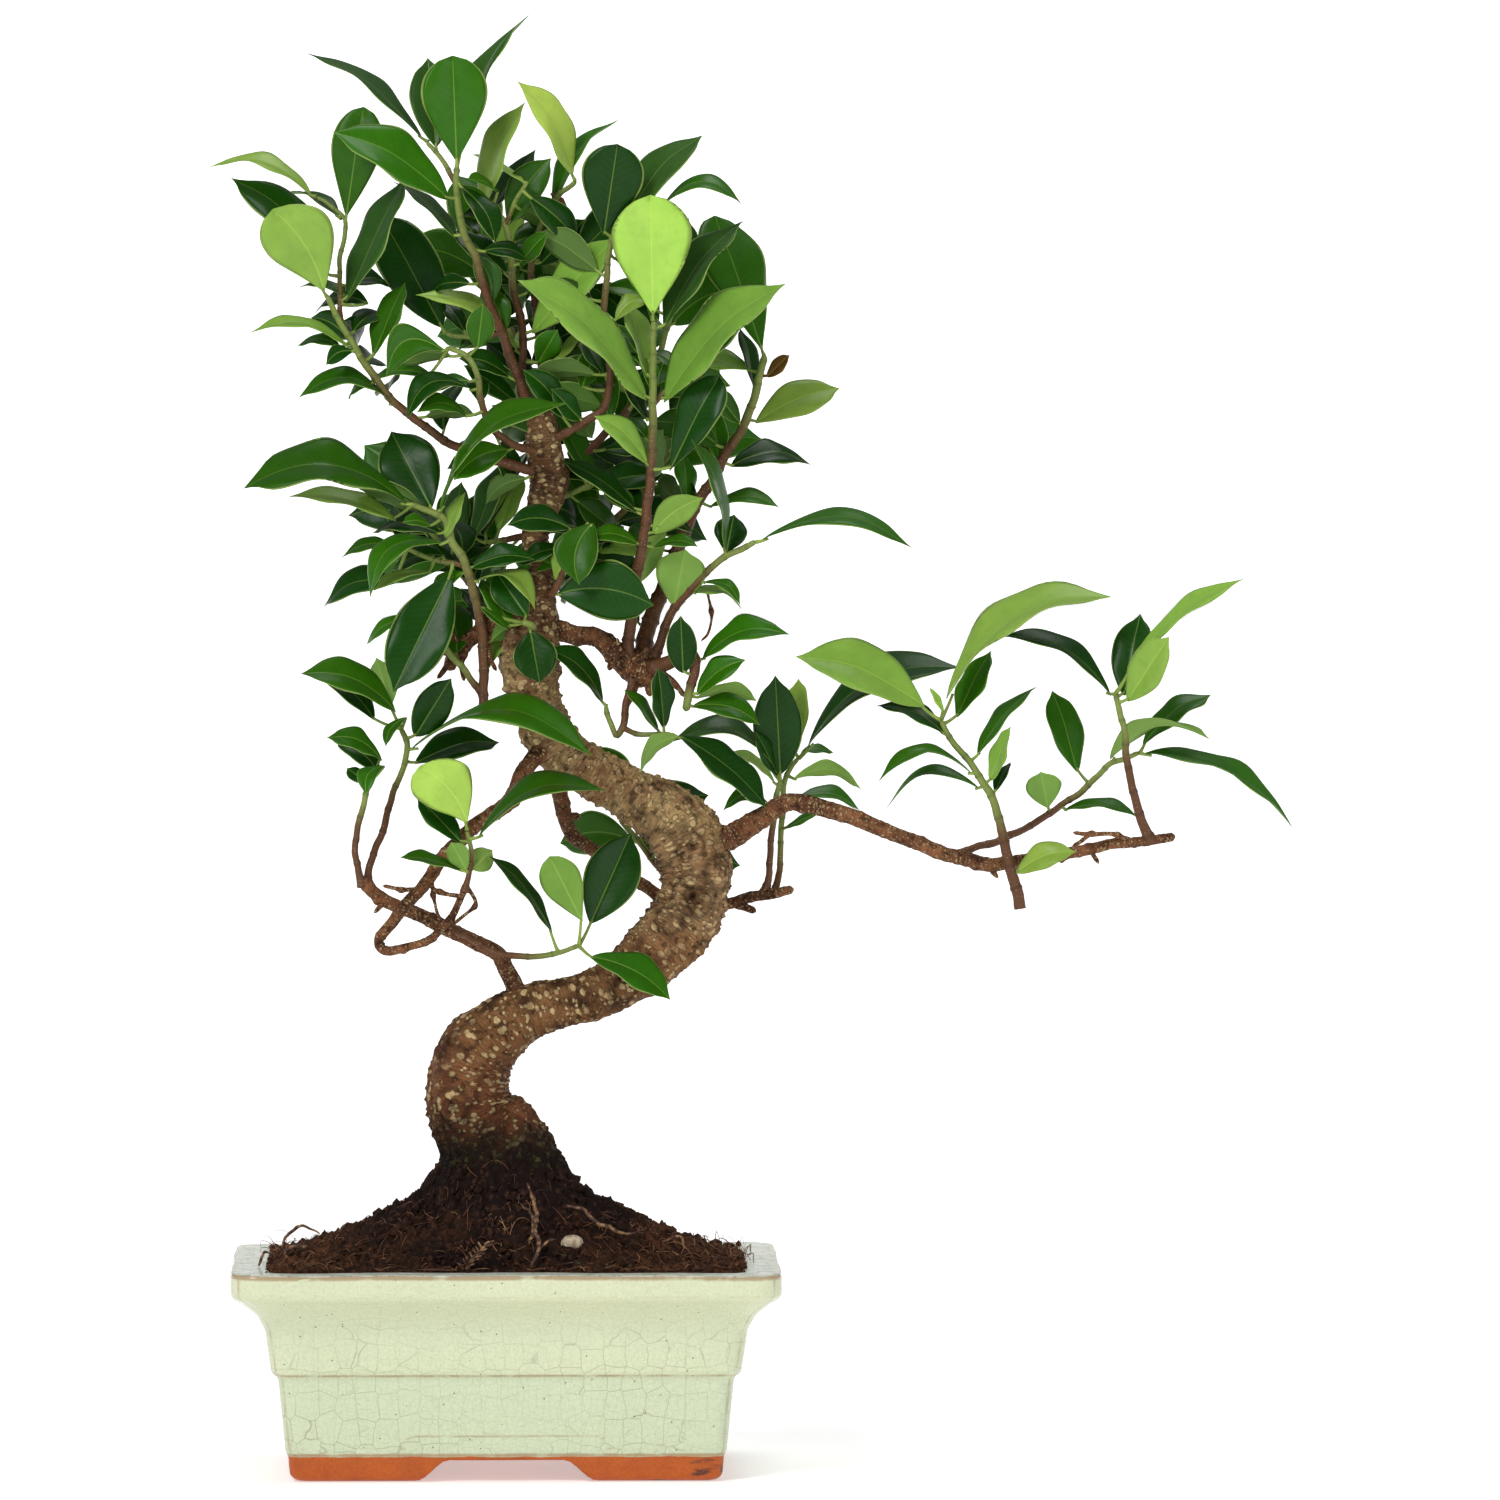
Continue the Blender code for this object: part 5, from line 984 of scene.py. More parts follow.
# ---- Leafy shoots -------------------------------------------------------------------------
# Each shoot is one or more green-tipped twigs with leathery, glossy ficus leaves on stalks.
# New leaves are bright yellow-green, old ones dark, and a few turn their pale undersides out.
# A shoot has a tone for each leaf (capitals are broad-tipped), its twigs as (x, y, z, radius),
# and its leaves as (x and z of the blade's foot, x and z of its tip, width seen from the front,
# tip's shift in y, arch, 1 where the front shows the underside), all in millimetres.
SHOOTS = {
    "shoot_top_leader": ("Mmggmgk", [
        [(12, 1, 385, 2.3), (8, -1, 392, 2), (3, -3, 405, 1.8), (-2, -4, 418, 1.7),
         (-7, -5, 430, 1.6), (-10, -6, 442, 1.5), (-15, -6, 453, 1.4), (-17.5, -6, 465, 1.3),
         (-17.5, -7, 477, 1.1)],
        [(-17.5, -6, 470, 1), (-23, -2, 480, 0.9), (-28, 0, 486, 0.8)],
        [(-2, -4, 416, 1), (-11, 6, 414, 0.9), (-22, 12, 416, 0.8)]], [
        (-17.5, 478, -19, 517, 24.5, -5, 0, 0), (-20.5, 465, -61, 491, 16, -12, 3, 0),
        (-30, 487, -70, 521, 5.5, 12, 3, 0), (-24, 483, -28, 517, 16, 12, 0, 0),
        (-17, 480, 6, 534, 10, 8, 4, 0), (-18, 451, -40, 472, 5, 15, 2, 0),
        (-23, 418, -46, 461, 22, 8, 0, 0)]),
    "shoot_top_centre": ("lbmdmmldbdml", [
        [(11, 3, 384, 1.8), (6, 7, 393, 1.7), (6, 8, 400, 1.6), (7, 9, 410, 1.5), (6, 10, 420, 1.5),
         (3, 10, 432, 1.4), (2, 9, 445, 1.3), (0, 8, 456, 1.2), (-5, 8, 462, 1)],
        [(0, 8, 455, 0.9), (4, 4, 464, 0.8), (8, 0, 471, 0.7)]], [
        (-8, 462, 5, 501, 11, -4, 2, 0), (8, 472, -11, 483, 2.5, 2, 0, 0),
        (-2, 468, -12, 474, 3, -4, 0, 0), (-9, 456, 11, 483.5, 6, 14, 0, 0),
        (2, 455, 17, 480, 13, 8, 2, 0), (5, 441, 15, 453, 7, -8, 0, 0),
        (10, 416, 39, 452, 15, -12, 0, 0), (12, 414, 22, 438, 7, 12, 0, 0),
        (6, 408, -31.5, 431.5, 6, -16, 6, 0), (11, 399, -7, 413, 8, 10, 0, 0),
        (12, 405, 19, 417, 10, -10, 0, 0), (18, 405, 32, 419, 4, 6, 0, 0)]),
    "shoot_top_back": ("bmddx", [
        [(14, 4, 384, 1.6), (14, 13, 394, 1.5), (13, 18, 410, 1.4), (11, 20, 425, 1.3),
         (10, 20, 440, 1.2), (13, 18, 455, 1.1), (19, 15, 465, 1), (26, 12, 472, 0.9)]], [
        (27, 473, 7, 509, 11, -6, 3, 0), (15, 462, 39, 496, 7, 8, 3, 0),
        (13, 441, 29, 458, 9, -10, 0, 0), (24, 440, 53, 466, 14, 10, 2, 0),
        (17, 467, 25, 459, 3, 6, 0, 0)]),
    "shoot_top_right": ("Dgmmmdd", [
        [(16, 2, 376, 1.8), (23, -2, 380, 1.6), (30, -4, 384, 1.5), (37, -6, 391, 1.4),
         (38, -7, 405, 1.3), (36, -8, 420, 1.2), (37, -9, 432, 1.2), (38, -9, 445, 1.1),
         (41, -9, 454, 1), (50, -8, 460, 0.9), (56, -8, 463, 0.8)]], [
        (36, 452, 41, 485, 23, -6, 0, 0), (42, 455, 70, 490.5, 12, 8, 2, 0),
        (56, 464, 86, 464, 6, -8, 8, 0), (28, 396, 34, 412, 9, 10, 0, 0),
        (31, 420, 20, 424, 5, -8, 2, 0), (36, 399, 28, 415, 6, 12, 0, 0),
        (29, 383, 17, 396, 8, -12, 0, 0)]),
    "shoot_left_long": ("LdgMldmddlmdmmm", [
        [(14, 1, 365, 2), (3, -4, 368, 1.9), (-3, -6, 370, 1.8), (-10, -7, 372, 1.7),
         (-18, -8, 375, 1.6), (-25, -9, 379, 1.6), (-33, -11, 385, 1.5), (-40, -12, 391, 1.5),
         (-45, -13, 397, 1.4), (-50, -14, 404, 1.4), (-55, -15, 412, 1.3), (-60, -16, 420, 1.2),
         (-65, -17, 430, 1)],
        [(-60, -16, 420, 1), (-60, -10, 432, 0.9), (-60, -4, 445, 0.9), (-58, 0, 456, 0.8),
         (-64, 3, 463, 0.7), (-69, 4, 466, 0.7)]], [
        (-65, 431, -84, 461, 26, -10, 3, 0), (-66, 437, -98, 475, 15, 10, 4, 0),
        (-58, 428, -37, 474, 12, 10, 0, 0), (-57.5, 457, -52, 498.5, 18.5, -4, 0, 0),
        (-70, 466, -107.5, 478.5, 5, 6, 6, 0), (-60, 458, -79, 469, 4, 14, 2, 0),
        (-58, 430, -75, 434, 3, 6, 2, 0), (-55, 414, -71, 422, 9, 12, 2, 0),
        (-50, 427, -70, 424, 6, 16, 4, 0), (-54, 409, -92, 419, 4, -8, 5, 0),
        (-60, 411, -76, 411.5, 4, 10, 3, 0), (-55, 410, -65, 405, 6, -8, 2, 0),
        (-40, 389, -75, 394, 5, -6, 8, 0), (-50, 397, -57, 392, 3, 8, 2, 0),
        (-48, 408, -37, 435, 9, 10, 0, 0)]),
    "shoot_left_front": ("mmdmm", [
        [(14, 0, 372, 1.6), (0, -11, 377, 1.4), (-6, -14, 384, 1.3), (-9, -16, 393, 1.2),
         (-10, -17, 401, 1.1), (-14, -18, 408, 1), (-21, -19, 411, 0.9)]], [
        (-21, 410, -43, 401, 13, -8, 9, 0), (-27, 401, -52, 398, 4, 8, 3, 0),
        (-12, 396, -36, 386, 8, -8, 8, 0), (-14, 386, -32, 388, 6, -12, 4, 0),
        (-10, 411, -8, 427, 10, -6, 0, 0)]),
    "shoot_left_inner": ("mbdmlmdmmddldmmld", [
        [(-9, -2, 308, 1.8), (-9, -9, 310, 1.8)],
        [(-8, -9, 279, 1.8), (-8, -9, 290, 1.8), (-8, -9, 300, 1.8), (-9, -9, 310, 1.8),
         (-11, -9, 320, 1.7), (-12, -9, 326, 1.7), (-15, -10, 333, 1.6), (-19, -11, 340, 1.5),
         (-21, -11, 346, 1.5), (-24, -12, 350, 1.4), (-34, -13, 354, 1)],
        [(-9, -9, 285, 1.3), (-14, -11, 292, 1.2), (-20, -12, 299, 1.1), (-24, -12, 305, 1)],
        [(-14, -10, 331, 1), (-26, -6, 334, 0.9), (-38, -4, 338, 0.8)]], [
        (-35, 355, -95, 361, 14, -8, 11, 0), (-40, 348, -79, 357, 6, 6, 3, 0),
        (-26, 351, -42, 381, 22, 12, 0, 0), (-25, 351, 19, 394, 5, -14, 9, 0),
        (-22, 342, -16, 358.5, 5, -6, 0, 0), (-27, 346, -37, 348, 4, -8, 1, 0),
        (-24, 343, -49, 345, 7, 14, 3, 0), (-23, 340, -50, 322, 9, -12, 9, 0),
        (-42, 339, -60, 334.5, 5, 6, 2, 0), (-22, 335, -42, 330, 6, 12, 2, 0),
        (-40, 325, -67, 317, 10, 14, 4, 0), (-27, 329, -48, 324, 3, -8, 2, 0),
        (-20, 328, -41, 286, 22, -12, 0, 0), (-36, 312, -51, 302.5, 4, 10, 2, 0),
        (-14, 330, -29, 316, 6, 10, 2, 0), (-13, 326, 11, 317, 5, -14, 7, 0),
        (-13, 331, 10, 335, 8, -6, 2, 0)]),
    "shoot_trunk_front": ("dmmd", [
        [(10, -2, 306, 1.7), (10, -14, 309, 1.4), (6, -17, 311, 1.2)]], [
        (8, 313, -4, 330, 13, 8, 0, 0), (2, 309, -8, 328, 8, 4, 0, 0),
        (-9, 317, 1, 309, 3, -6, 0, 0), (9, 310, 12.5, 289, 16, -5, 0, 0)]),
    "shoot_centre": ("dmdl", [
        [(13, 0, 322, 1.6), (17, -8, 321, 1.4), (21, -11, 328, 1.2), (24, -12, 338, 1.1),
         (30, -13, 347, 1)]], [
        (18, 320, 54, 317, 22, -8, 4, 0), (32, 347, 27, 325, 16, -8, 4, 0),
        (24, 345, 1, 347, 10, -8, 3, 0), (18, 324, 22, 341, 7, -8, 0, 0)]),
    "shoot_inner": ("gdmd", [
        [(11, 1, 343, 1.6), (3, 8, 341, 1.2), (-7, 11, 339, 1)],
        [(14, 2, 353, 1.5), (23, 9, 357, 1.2), (32, 11, 360, 1)]], [
        (-12, 340, 1, 372, 9, 8, 0, 0), (-8, 342, 10, 378, 9, 14, 0, 0),
        (34, 360, 15, 392, 8, 6, 0, 0), (30, 362, 8, 368, 7, 12, 2, 0)]),
    "shoot_right_upright": ("BllgpdkmdlKldmm", [
        [(46, 3, 293, 2.5), (45, 1, 301, 2.3), (46, 0, 310, 2.2), (47, -2, 320, 2.1),
         (49, -4, 332, 2), (51, -5, 342, 1.9), (52, -6, 352, 1.8), (53, -6, 362, 1.7),
         (54, -6, 375, 1.6), (54, -6, 388, 1.5), (54, -7, 400, 1.4), (54, -8, 412, 1.3),
         (54, -9, 421, 1.1)],
        [(54, -6, 390, 1), (61, -2, 397, 0.9), (69, 1, 402, 0.8)]], [
        (54, 421, 53, 466, 29.5, -8, 0, 0), (52, 392, 8, 438, 14, -14, 3, 0),
        (58, 391, 100, 436, 17, -12, 4, 0), (58, 418, 86, 458, 12, 8, 3, 0),
        (52, 400, 45, 431, 7, 12, 0, 0), (52, 384, 38, 411, 6, 12, 0, 0),
        (70, 403, 92, 434, 14, 10, 2, 0), (50, 339, 31, 342.5, 6, -8, 2, 0),
        (49, 350, 21, 370, 7, 6, 2, 0), (52, 367, 34, 387, 9, -8, 2, 0),
        (60, 366, 77, 401, 16, -4, 0, 0), (54, 343, 72, 356, 11, -8, 2, 0),
        (55, 346, 69, 344, 5, -12, 2, 0), (54, 338, 70, 339, 4, -10, 2, 0),
        (47, 352, 36, 361, 7, 10, 0, 0)]),
    "shoot_right_tall": ("Mmldmmdxm", [
        [(50, 6, 295, 3.4), (51, 9, 303, 3.2), (54, 12, 312, 3), (58, 14, 322, 2.8),
         (62, 16, 333, 2.5), (66, 17, 343, 2.3), (70, 18, 352, 2.1), (76, 18, 362, 1.9),
         (82, 17, 373, 1.8), (87, 16, 381, 1.7), (90, 14, 388, 1.6), (93, 12, 398, 1.5),
         (95, 10, 408, 1.2)]], [
        (95, 409, 78, 459.5, 22, -6, 0, 0), (79, 367, 76, 389, 9, 8, 0, 0),
        (92, 383, 123, 396, 13, 6, 2, 0), (83, 367, 113, 369, 9, 10, 4, 0),
        (75, 352, 100, 354, 5, -8, 3, 0), (86, 382, 76, 396, 7, -8, 0, 0),
        (91, 394, 88, 418, 6, 14, 0, 0), (96, 400, 104, 408, 5, -6, 0, 0),
        (67, 352, 66, 374, 7, 12, 0, 0)]),
    "shoot_right_arching": ("mdmpml", [
        [(54, 3, 295, 2.1), (57, 2, 303, 1.8), (59, 1, 310, 1.7), (63, 0, 317, 1.6),
         (68, -1, 323, 1.5), (74, -3, 329, 1.4), (80, -4, 334, 1.3), (86, -5, 337, 1.2),
         (92, -6, 340, 1)]], [
        (94, 341, 148, 342, 5, -10, 8, 0), (80, 335, 84, 350, 12, 8, 0, 0),
        (80, 336, 70, 378, 5, -10, 3, 0), (62, 314, 66, 338, 18, -8, 0, 1),
        (72, 325, 86, 318, 4, -6, 3, 0), (69, 321, 87, 316.5, 3, 6, 3, 0)]),
    "shoot_right_hooked": ("dmmpm", [
        [(55, 0, 293, 2.8), (58, -3, 295, 2.7), (62, -5, 297, 2.6), (66, -5, 299, 2.4),
         (69, -5, 298, 2.2), (69.5, -5, 293, 2), (68, -5, 286, 1.7), (66, -5, 278, 1.3)]], [
        (65, 292, 64, 313, 11, -10, 0, 0), (72, 297, 103, 308, 8, -6, 5, 0),
        (70, 284, 87, 297.5, 8, -8, 2, 0), (70, 283, 92, 282, 6, 8, 3, 1),
        (68, 280, 93, 274, 8, -6, 3, 0)]),
    "shoot_hanging": ("dmdpk", [
        [(47, 2, 291, 1.9), (46, -1, 286, 1.7), (44, -3, 279, 1.4), (43, -4, 272, 1.3),
         (40.5, -5, 269, 1.1), (38, -5, 275, 1), (37, -5, 280, 0.9)],
        [(43, -4, 272, 1.1), (48, -5, 269.5, 1), (53, -6, 269.5, 0.9), (61, -7, 269.5, 0.8)]], [
        (37, 281, 16, 302, 8, -12, 3, 0), (57, 271, 45, 287, 4, -8, 0, 0),
        (58, 272, 56, 294, 8, -8, 0, 0), (63, 269, 48, 257, 6, -10, 3, 1),
        (64, 269, 96, 243, 11, 4, 2, 0)]),
    "shoot_mid_right": ("gmdbdpdmpmm", [
        [(95, 22, 209, 1.6), (97, 20, 216, 1.3), (97, 18, 222, 1.2), (98, 16, 232, 1.2),
         (99, 14, 240, 1.1), (101, 12, 252, 1)],
        [(99, 21.5, 210, 1.4), (101, 25, 218, 1.2), (101, 25, 228, 1.1), (102, 22, 240, 1.1),
         (103, 17, 252, 1), (108, 15, 260, 0.8)]], [
        (100, 254, 61, 268, 6, -8, 10, 0), (97, 243, 80, 242, 4, -6, 4, 0),
        (101, 254, 99, 290.5, 18, -6, 0, 0), (106, 262, 107, 289, 10, 10, 0, 0),
        (100, 252, 92, 270, 6, -10, 0, 0), (99, 250, 82, 262, 4, 8, 2, 1),
        (111, 264, 166, 295, 10, -8, 10, 0), (109, 262, 121, 262, 3, 6, 1, 0),
        (106, 252, 131, 250, 6, -6, 5, 1), (108, 245, 131, 241, 4, 8, 3, 0),
        (101, 233, 115, 240, 2.5, -8, 0, 0)]),
    "shoot_far_right_upright": ("llmbdmmmldl", [
        [(185, -8, 222, 1.9), (184.5, -15, 222, 1.9)],
        [(188, -15, 206, 2.2), (187, -15, 212, 2.1), (184, -15, 222, 2), (182, -15, 232, 1.8),
         (180, -15, 240, 1.6), (177, -15, 248, 1.5), (172, -14, 256, 1.3), (167, -13, 263, 1.2),
         (162, -12, 269, 1.1), (159, -11, 275, 0.9)]], [
        (153, 280, 107.5, 301, 17, -8, 3, 0), (161, 283, 220, 322, 10, -6, 11, 0),
        (165, 276, 177, 300.5, 9, 8, 0, 0), (160, 278, 155.5, 287, 2.5, 2, 0, 0),
        (161, 269, 136, 280, 6, 10, 3, 0), (171, 255, 136, 254, 3.5, -8, 9, 0),
        (173, 250, 139, 245.5, 3, 8, 8, 0), (172.5, 262, 194, 287, 5, 8, 2, 0),
        (177, 253, 184, 273, 6, -6, 0, 0), (179, 249, 184, 260, 4, 8, 0, 0),
        (186, 219, 207, 228, 9, -8, 2, 0)]),
    "shoot_far_right_rising": ("mpmmpm", [
        [(164, -7, 225, 1.6), (170, -3, 227, 1.4), (180, 0, 230, 1.4), (190, 4, 234, 1.3),
         (196, 6, 238, 1.3), (203, 7, 242, 1.2), (212, 8, 248, 1.2), (218, 8, 254, 1.1),
         (222, 8, 258, 1.1), (228, 8, 260, 1), (233, 8, 262, 0.9)]], [
        (210, 255, 202, 285, 12, 6, 0, 0), (199, 242, 196, 256, 13, -6, 0, 1),
        (205, 241, 232, 239, 4, -8, 3, 0), (234, 265, 258, 285, 7, 6, 2, 0),
        (222, 260, 257, 269, 6, -8, 8, 1), (235, 262, 289, 236, 6, -4, 7, 0)]),
    "shoot_far_right_end": ("ldld", [
        [(236, -9.5, 230, 2), (232, -13, 240, 1.7), (229, -14, 250, 1.5), (227, -14, 262, 1.4),
         (226, -14, 272, 1.2), (224, -14, 280, 1.1), (223, -14, 285, 0.9)]], [
        (228, 296, 268, 328, 4.5, -4, 3, 0), (226, 284, 232, 314, 14, 10, 0, 0),
        (227, 282, 241, 306, 13, -8, 0, 0), (221, 284, 180, 306, 6.5, -6, 7, 0)]),
    "shoot_low_left_outer": ("mdmd", [
        [(-52, -15, 215, 1.5), (-54, -17, 221, 1.3), (-55, -18, 228, 1.2), (-53, -19, 238, 1.2),
         (-51, -20, 248, 1.1), (-49, -20, 254, 0.9)]], [
        (-45, 261, -64, 270.5, 7, -8, 3, 0), (-46, 256, -62, 268, 8, 10, 2, 0),
        (-44, 259, -51, 250, 6, -12, 3, 0), (-51, 252, -58, 258, 5, 8, 0, 0)]),
    "shoot_low_left_inner": ("mdpdmdm", [
        [(-49, -14.5, 213, 1.5), (-50, -12, 219, 1.4), (-48, -10, 226, 1.3), (-44, -8, 237, 1.3),
         (-41, -7, 248, 1.2), (-38, -6, 256, 1.1), (-36, -6, 265, 1.1), (-38, -6, 272, 1)]], [
        (-40, 278, -74, 293, 11, -8, 5, 0), (-48, 275, -67, 292, 8, 8, 2, 0),
        (-42, 280, -47, 297, 10, 8, 0, 1), (-33, 269, -20, 290, 13, -8, 0, 0),
        (-35, 264, 30, 269, 7, -16, 13, 0), (-33, 259, -2, 268, 11, 12, 2, 0),
        (-36, 276, -44, 266, 4, -6, 2, 0)]),
    "shoot_front_left": ("Bdmppm", [
        [(-15, -27.5, 213, 1.2), (-13.5, -27, 220, 1), (-12.5, -27, 228, 0.9), (-14, -27, 236, 0.8)]], [
        (-14, 238, -31, 259, 22, -8, 3, 0), (-16, 231, -32, 247.5, 9, 8, 0, 0),
        (-10, 233, 35, 253, 7, -8, 8, 0), (-14, 220, -20, 232, 8, -8, 0, 1),
        (-12, 220, -5, 228, 9, 6, 0, 1), (-16, 221, -38, 227, 3.5, -8, 1, 0)]),
    "shoot_low_front": ("dLdm", [
        [(-19, -8, 198, 1.4), (-16, -14, 197, 1.3), (-12, -17, 195, 1.2), (-5, -18, 191, 1.2),
         (2, -19, 189, 1.2), (10, -19, 189, 1.1), (17, -19, 190, 1), (27, -19, 193, 0.8)]], [
        (17, 198, -5, 227, 5, -4, 2, 0), (28, 202, 16, 226, 15, -6, 0, 0),
        (31, 201, 46, 234, 20, 6, 0, 0), (31, 189, 60, 174, 11, -6, 3, 0)]),
    "shoot_back_left": ("mdmdmdm", [
        [(10, 3, 300, 2.2), (2, 20, 306, 1.8), (-8, 32, 318, 1.5), (-20, 40, 332, 1.2),
         (-30, 44, 346, 1)]], [
        (-30, 350, -52, 374, 20, 10, 3, 0), (-24, 342, -58, 348, 16, 4, 5, 0),
        (-20, 330, -50, 326, 17, 12, 4, 0), (-10, 324, -34, 352, 15, 18, 3, 0),
        (-8, 318, -36, 306, 16, 6, 4, 0), (0, 310, 22, 330, 16, 16, 3, 0),
        (-14, 328, -2, 358, 17, 10, 3, 0)]),
    "shoot_back_right": ("dmmdmdm", [
        [(14, 4, 328, 2), (24, 22, 334, 1.7), (38, 34, 345, 1.4), (52, 42, 358, 1.2),
         (62, 46, 372, 1)]], [
        (64, 376, 80, 404, 18, 8, 3, 0), (58, 366, 96, 376, 17, 4, 5, 0),
        (48, 356, 44, 386, 17, 14, 3, 0), (40, 345, 76, 340, 15, 12, 5, 0),
        (30, 338, 20, 366, 16, 18, 3, 0), (24, 332, 50, 322, 16, 14, 4, 0),
        (54, 362, 66, 342, 15, 16, 3, 0)]),
    "shoot_back_top": ("mmdmdmd", [
        [(13, 5, 380, 1.9), (14, 22, 388, 1.6), (8, 33, 404, 1.4), (0, 40, 422, 1.2),
         (-8, 43, 440, 1)]], [
        (-8, 444, -18, 474, 20, 8, 3, 0), (-6, 436, -38, 446, 17, 8, 4, 0),
        (-2, 426, 20, 450, 17, 12, 3, 0), (4, 414, -26, 414, 16, 14, 4, 0),
        (8, 404, 38, 418, 18, 10, 4, 0), (12, 396, 4, 374, 15, 16, 3, 0),
        (0, 420, 14, 446, 15, 20, 3, 0)]),
    "shoot_back_crown": ("dmdmmdm", [
        [(15, 4, 360, 2), (30, 18, 372, 1.6), (46, 30, 388, 1.4), (56, 36, 406, 1.2),
         (62, 38, 424, 1)]], [
        (62, 428, 68, 458, 20, 8, 3, 0), (60, 418, 90, 432, 17, 6, 4, 0),
        (54, 408, 30, 434, 17, 12, 3, 0), (48, 394, 84, 396, 16, 12, 5, 0),
        (38, 382, 24, 410, 16, 14, 3, 0), (30, 374, 56, 366, 15, 16, 4, 0),
        (56, 404, 44, 380, 15, 16, 3, 0)]),
    "shoot_back_low": ("mdmdm", [
        [(60, 26, 208, 1.8), (60, 38, 214, 1.5), (52, 48, 224, 1.3), (42, 54, 236, 1)]], [
        (42, 240, 30, 262, 17, 6, 3, 0), (48, 230, 76, 244, 17, 10, 4, 0),
        (50, 228, 20, 226, 16, 10, 4, 0), (58, 216, 88, 218, 15, 14, 4, 0),
        (56, 222, 62, 250, 15, 14, 3, 0)]),
}
TONES = {"b": (0.285, 0.455, 0.070), "l": (0.165, 0.300, 0.042), "m": (0.021, 0.098, 0.0015),
         "d": (0.0050, 0.039, 0.0010), "k": (0.0065, 0.043, 0.0034), "g": (0.022, 0.072, 0.010),
         "p": (0.135, 0.260, 0.038), "x": (0.130, 0.055, 0.015)}
STALK, GREEN_WOOD, BROWN_WOOD = (0.250, 0.360, 0.060), (0.210, 0.280, 0.060), (0.125, 0.050, 0.019)


def flat_tone(shape, colour):
    """The same colour for every point of a sheet."""
    return np.broadcast_to(np.array(colour), shape).copy()


def nearest_on(lines, x, z):
    """The point (x, y, z) of bent lines that is nearest to a drawn (x, z)."""
    best = None
    for line in lines:
        for a, b in zip(line, line[1:]):
            run = (b[0] - a[0]) ** 2 + (b[2] - a[2]) ** 2 or 1e-9
            t = ((x - a[0]) * (b[0] - a[0]) + (z - a[2]) * (b[2] - a[2])) / run
            t = min(max(t, 0.03), 0.97)
            spot = [a[i] + (b[i] - a[i]) * t for i in range(3)]
            away = math.hypot(spot[0] - x, spot[2] - z)
            if best is None or away < best[0]:
                best = (away, spot)
    return best[1]


def settled(corners, lines, row):
    """Where the CAD's copy of a leaf went: its root, foot, tip and how far it was shortened.

    The CAD swings each leaf in depth, or shortens it, until it is clear of the others, and
    the corner of its mesh that lies on one of those tries is the leaf's tip.  A leaf with no
    such corner stands where it was drawn.
    """
    foot_x, foot_z, tip_x, tip_z, _, shift, _, _ = row
    spot = nearest_on(lines, foot_x, foot_z)
    away = math.hypot(spot[0] - foot_x, spot[2] - foot_z)
    depth = spot[1] + 0.35 * away * (1 if shift > 0 else -1)
    foot = np.array([foot_x, depth, foot_z])
    push = np.arange(-42, 43, 3)
    best = (1.0, None, 1.0)
    for share in (1, 0.85, 0.7, 0.55, 0.4):
        tips = np.array([(tip_x, depth + shift + shove, tip_z) for shove in push])
        tips = foot + (tips - foot) * share
        gaps = np.linalg.norm(tips[:, None] - corners[None], axis=-1).min(1)
        k = int(gaps.argmin())
        if gaps[k] < best[0]:
            best = (gaps[k], tips[k], share)
    gap, tip, share = best
    if gap > 0.25:
        tip, share = foot + (np.array([tip_x, depth + shift, tip_z]) - foot), 1.0
    place = np.array([pot_x, pot_y, 0])
    return np.array(spot) / 1000 + place, foot / 1000 + place, tip / 1000 + place, share


def leaf_frame(foot, tip, seen, under_side):
    """A blade's full width, and its across, face and up directions, from how wide it looks."""
    along = Vector(tip - foot)
    length = along.length
    along.normalize()
    width = max(seen, 0.46 * length) if seen > 0.14 * length else max(seen, 0.36 * length)
    turn = math.acos(min(seen / width, 1))
    if under_side:
        turn = math.pi - turn
    toward = Vector((0, -1, 0))
    toward = (toward - toward.dot(along) * along).normalized()
    up = along.cross(toward)
    if up.z < 0:
        up = -up
    face = (toward * math.cos(turn) + up * math.sin(turn)).normalized()
    return length, width, np.array(along.cross(face)), np.array(face), np.array(up)


# A blade's points along it and from edge to edge, its half thickness and its side veins' spacing.
BLADE_LONG, BLADE_WIDE, BLADE_THICK, VEIN_STEP = 25, 13, 0.00022, 0.0026


